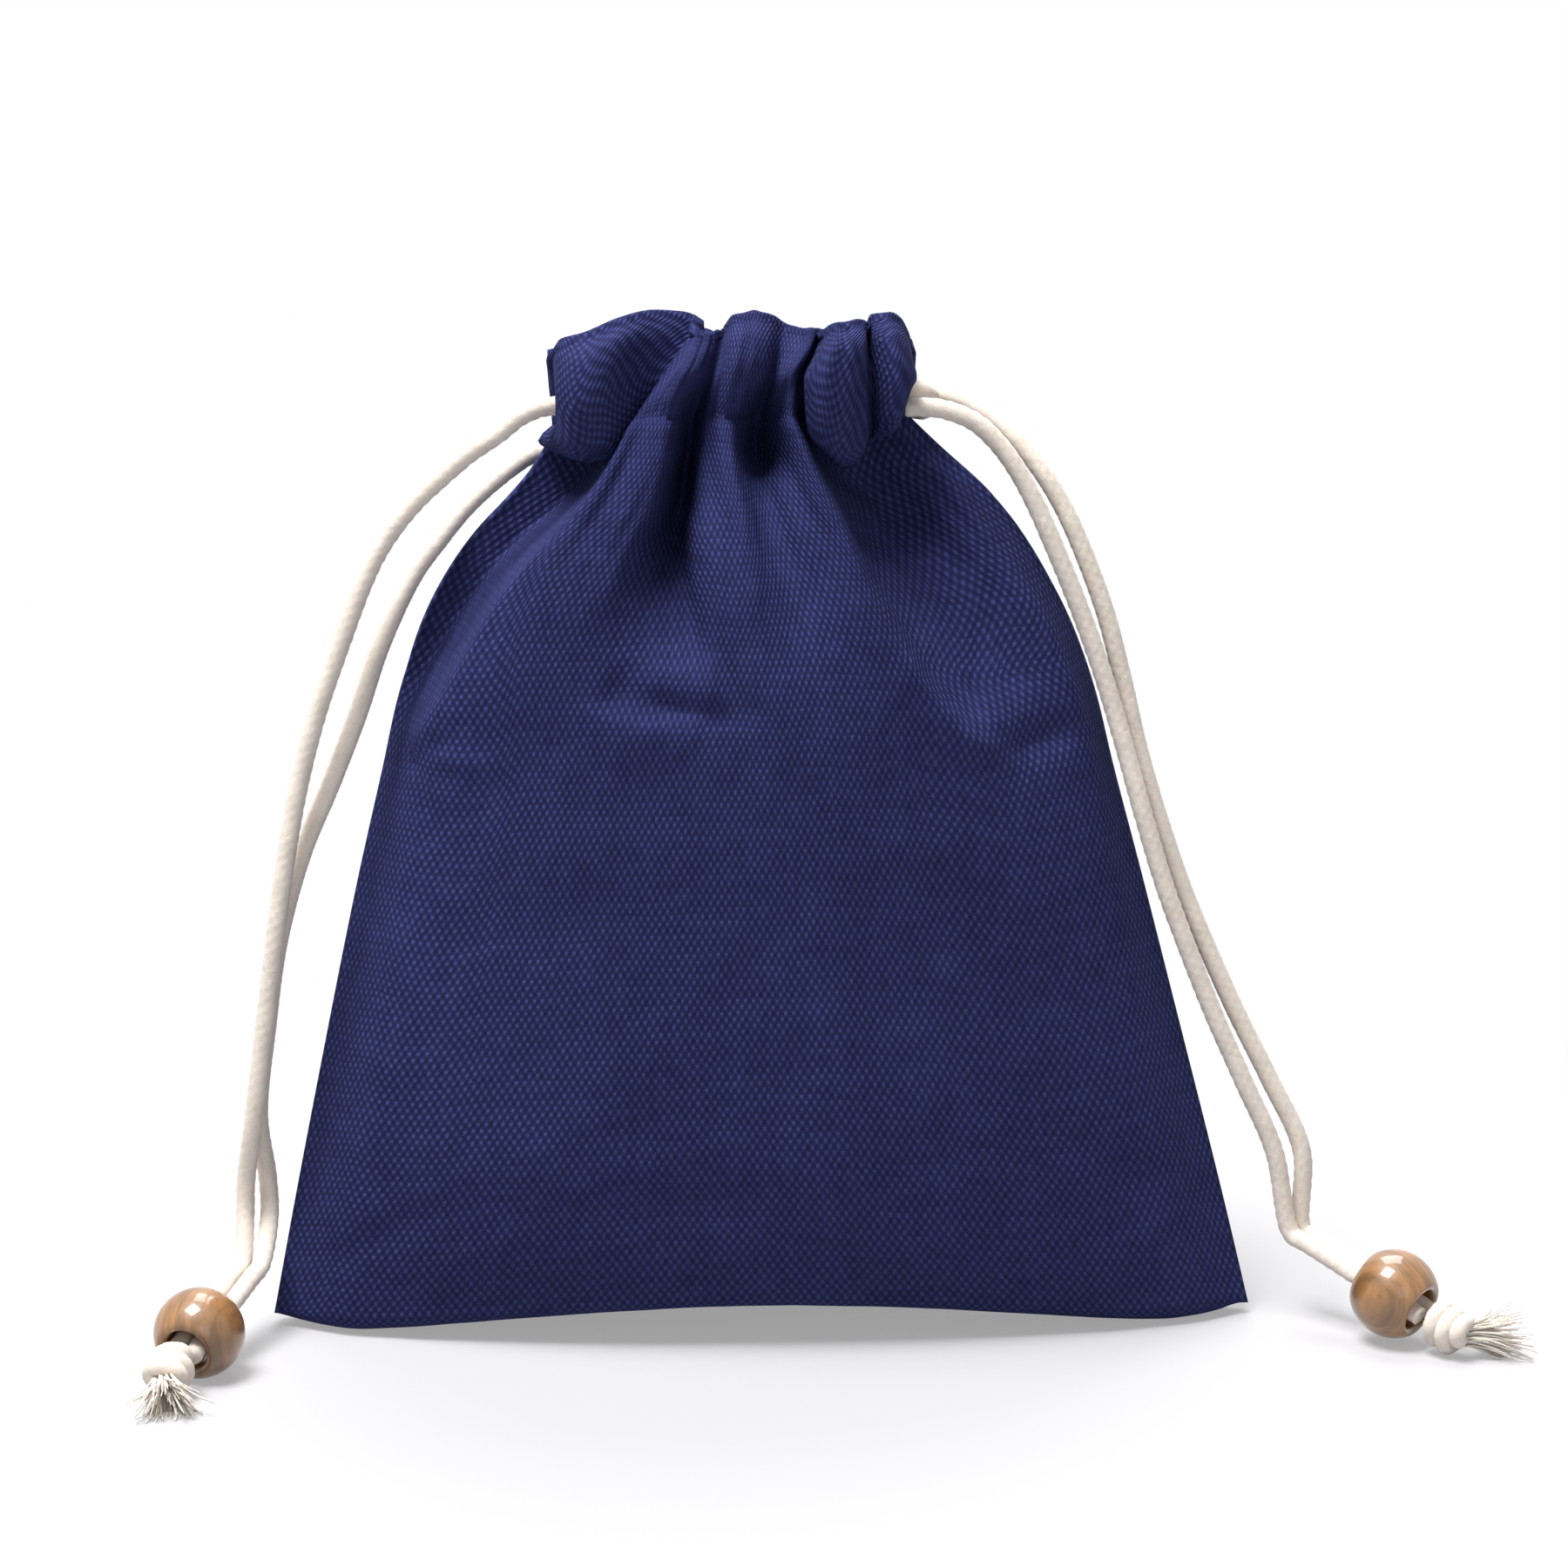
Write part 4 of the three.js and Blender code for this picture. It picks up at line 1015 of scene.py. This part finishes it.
def make_knot(side_name, cotton):
    """Wrapped turns, and the fibres that fray out of the knot."""
    rng = random.Random(side_name)
    to_place = bead_frame(side_name)
    wraps = spline([to_place @ Vector(p) for p in wrap_points()], 0.25 * MM)
    piece = tube_piece("knot_" + side_name + "_tied", wraps, knot_radius, cotton, sides=18)
    below = to_place @ Vector((0, 0, knot_start() + WRAP_PITCH * WRAP_TURNS - 0.6 * MM))
    fray = FRAYS[side_name]
    way = fray["way"].normalized()
    parts = [piece]
    for number in range(fray["count"]):
        points = fibre_points(rng, below, way, fray)
        parts.append(tube_piece("fibre", points, fibre_radius(rng), cotton, sides=5))
    merge_pieces(parts)
    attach(piece, "pouch")
    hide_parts("knot_" + side_name)


def knot_radius(angle, along):
    """The braid, pulled tight in the knot."""
    return braid_radius(angle, along) * KNOT_CORD / (CORD_DIAMETER / 2)


def fibre_radius(rng):
    """A fibre's radius along its length: it thins out towards the tip."""
    thick = rng.uniform(0.07, 0.19) * MM

    def radius(angle, along):
        return thick * (1 - 0.5 * smoothstep(3 * MM, 9 * MM, along))

    return radius


FLOOR_CLEARANCE = 0.25 * MM


def fibre_points(rng, start, way, fray):
    """One loose fibre: it leaves along the frayed end, spreads, curls and stays over the floor."""
    level = Vector((0, 0, 1)).cross(way).normalized()
    rise = way.cross(level)
    angle = rng.uniform(0, 2 * math.pi)
    reach = fray["length"] * rng.uniform(0.55, 1.0)
    lean = fray["spread"] * math.sqrt(rng.random())
    side_way = level * math.cos(angle) + rise * math.sin(angle)
    curl = Vector([rng.gauss(0, 1) for _ in range(3)])
    root = start + side_way * rng.uniform(0.2, 1.5) * MM
    points = []
    for i in range(7):
        t = i / 6
        spot = root + way * reach * t + side_way * reach * lean * t**1.6 + curl * 0.55 * MM * t * t
        spot += Vector((0, 0, -1.2 * MM * t * t))
        spot.z = max(spot.z, FLOOR_CLEARANCE)
        points.append(spot)
    return points


def merge_pieces(parts):
    """Joins the meshes of the later pieces into the first."""
    bm = bmesh.new()
    for part in parts:
        bm.from_mesh(part.data)
    bm.to_mesh(parts[0].data)
    bm.free()
    for part in parts[1:]:
        mesh = part.data
        bpy.data.objects.remove(part)
        bpy.data.meshes.remove(mesh)


# The add-on's settings, operators and panel


def color_setting(name, description, default):
    return bpy.props.FloatVectorProperty(
        name=name, description=description, subtype="COLOR", size=4, min=0, max=1, default=default)


def length_setting(name, description, default):
    return bpy.props.FloatProperty(
        name=name, description=description, unit="LENGTH", precision=5, min=0.0001, default=default)


class PouchSettings(bpy.types.PropertyGroup):
    cloth_color: color_setting("Cloth", "Colour of the cloth", (0.0194, 0.0230, 0.0800, 1.0))
    cord_color: color_setting("Cord", "Colour of the cotton cord", (0.80, 0.72, 0.64, 1.0))
    bead_color: color_setting("Bead", "Colour of the stained wood", (0.27, 0.13, 0.045, 1.0))
    cloth_thickness: length_setting("Cloth thickness", "Thickness of the cloth", CLOTH_THICKNESS * MM)
    warp_pitch: length_setting("Upright threads", "Distance between two upright threads", 0.60 * MM)
    weft_pitch: length_setting("Level threads", "Distance between two level threads", 0.84 * MM)


class POUCH_OT_stage(bpy.types.Operator):
    """Make the camera, the floor and the lights"""

    bl_idname = "pouch.stage"
    bl_label = "Stage"

    def execute(self, context):
        make_camera()
        make_floor()
        make_lights()
        return {"FINISHED"}


FLOOR_SIZE = 4.0
FLOOR_FADE = (0.06, 0.15)     # between these distances from the bag the floor turns plain white to the eye
SHADOW_LIFT = 0.33            # share of plain white that the eye sees in the floor's shadow
FLOOR_SEEN = (0.51, 0.50, 0.52, 1.0)
FLOOR_LIT = (0.42, 0.42, 0.43, 1.0)


def make_floor():
    n = Nodes(bpy.data.materials.new("floor"))
    path = n.add("ShaderNodeLightPath")
    seen = n.math("MAXIMUM", path.outputs["Is Camera Ray"], path.outputs["Is Glossy Ray"])
    seen = n.math("MAXIMUM", seen, path.outputs["Is Transmission Ray"])
    place = n.add("ShaderNodeTexCoord").outputs["Object"]
    narrow = n.add("ShaderNodeVectorMath", operation="MULTIPLY")
    n.feed(narrow.inputs[0], place)
    narrow.inputs[1].default_value = (0.5, 1.0, 1.0)
    away = n.add("ShaderNodeVectorMath", operation="LENGTH")
    n.feed(away.inputs[0], narrow.outputs[0])
    fade = n.times(n.remap(away.outputs["Value"], *FLOOR_FADE, SHADOW_LIFT, 1.0), seen)
    diffuse = n.add("ShaderNodeBsdfDiffuse")
    n.feed(diffuse.inputs[0], n.mix(seen, FLOOR_LIT, FLOOR_SEEN))
    white = n.add("ShaderNodeEmission")
    blend = n.add("ShaderNodeMixShader")
    n.feed(blend.inputs[0], fade)
    n.feed(blend.inputs[1], diffuse.outputs[0])
    n.feed(blend.inputs[2], white.outputs[0])
    n.feed(n.output.inputs[0], blend.outputs[0])
    white.inputs["Color"].default_value = (1.0, 1.0, 1.0, 1.0)
    bm = bmesh.new()
    bmesh.ops.create_grid(bm, x_segments=1, y_segments=1, size=FLOOR_SIZE / 2)
    mesh_piece("floor", bm, n.owner)


WORLD_LIGHT = 0.224


def make_lights():
    scene = bpy.context.scene
    scene.view_settings.view_transform = "Standard"
    world = bpy.data.worlds.new("studio")
    scene.world = world
    n = Nodes(world, "ShaderNodeOutputWorld")
    path = n.add("ShaderNodeLightPath")
    seen = n.math("MAXIMUM", path.outputs["Is Camera Ray"], path.outputs["Is Glossy Ray"])
    seen = n.math("MAXIMUM", seen, path.outputs["Is Transmission Ray"])
    background = n.add("ShaderNodeBackground")
    background.inputs["Color"].default_value = (1.0, 1.0, 1.0, 1.0)
    n.feed(background.inputs["Strength"], n.remap(seen, 0, 1, WORLD_LIGHT, 1.0))
    n.feed(n.output.inputs[0], background.outputs[0])
    area_lamp("key", (-0.3, -0.22, 1.12), (0.5, 0.5), 22.4, TARGET)
    area_lamp("front", (0.35, -1.1, 0.45), (0.6, 0.6), 1.36, TARGET)
    area_lamp("back", (0.1, 0.6, 1.1), (0.7, 0.7), 11.2, TARGET)


class POUCH_OT_beads(bpy.types.Operator):
    """Make the two wooden beads"""

    bl_idname = "pouch.beads"
    bl_label = "Beads"

    def execute(self, context):
        wood = bead_material(context.scene.pouch.bead_color)
        for side_name in BEADS:
            make_bead(side_name, wood)
        return {"FINISHED"}


class POUCH_OT_knots(bpy.types.Operator):
    """Tie the two knots and fray their ends"""

    bl_idname = "pouch.knots"
    bl_label = "Knots"

    def execute(self, context):
        cotton = cotton_material("cotton_knot", context.scene.pouch.cord_color)
        for side_name in BEADS:
            make_knot(side_name, cotton)
        return {"FINISHED"}


class POUCH_OT_cords(bpy.types.Operator):
    """Make the free strands of the two cords, and their runs inside the casings"""

    bl_idname = "pouch.cords"
    bl_label = "Cords"

    def execute(self, context):
        cotton = cotton_material("cotton_cord", context.scene.pouch.cord_color)
        for name, (side_name, hand, route) in CORD_ROUTES.items():
            piece, points = make_strand(name, side_name, hand, route, cotton)
        for name, route in CASING_ROUTES.items():
            points = spline([Vector(p) * MM for p in route], 0.4 * MM)
            piece = tube_piece(name + "_braided", points, braid_radius, cotton, sides=20)
            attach(piece, "pouch")
            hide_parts(name)
        return {"FINISHED"}


class POUCH_OT_bag(bpy.types.Operator):
    """Make the two cloth panels with their gathered casings"""

    bl_idname = "pouch.bag"
    bl_label = "Bag"

    def execute(self, context):
        settings = context.scene.pouch
        material = cloth_material(settings)
        for side in (-1, 1):
            piece = panel_piece(side, material, settings.cloth_thickness)
            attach(piece, "pouch")
            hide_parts(SIDES[side]["name"])
        return {"FINISHED"}


class POUCH_PT_panel(bpy.types.Panel):
    """Lists the pouch's settings and steps"""

    bl_label = "Drawstring pouch"
    bl_idname = "POUCH_PT_panel"
    bl_space_type = "VIEW_3D"
    bl_region_type = "UI"
    bl_category = "Pouch"

    def draw(self, context):
        settings = context.scene.pouch
        for name in PouchSettings.__annotations__:
            self.layout.prop(settings, name)
        for step in STEPS:
            self.layout.operator(step.bl_idname)


STEPS = (POUCH_OT_stage, POUCH_OT_beads, POUCH_OT_knots, POUCH_OT_cords, POUCH_OT_bag)
CLASSES = (PouchSettings, *STEPS, POUCH_PT_panel)


def register():
    for cls in CLASSES:
        bpy.utils.register_class(cls)
    bpy.types.Scene.pouch = bpy.props.PointerProperty(type=PouchSettings)


def unregister():
    del bpy.types.Scene.pouch
    for cls in reversed(CLASSES):
        bpy.utils.unregister_class(cls)


def main():
    register()
    bpy.ops.pouch.stage()
    bpy.ops.pouch.beads()
    bpy.ops.pouch.knots()
    bpy.ops.pouch.cords()
    bpy.ops.pouch.bag()


if __name__ == "__main__":
    main()
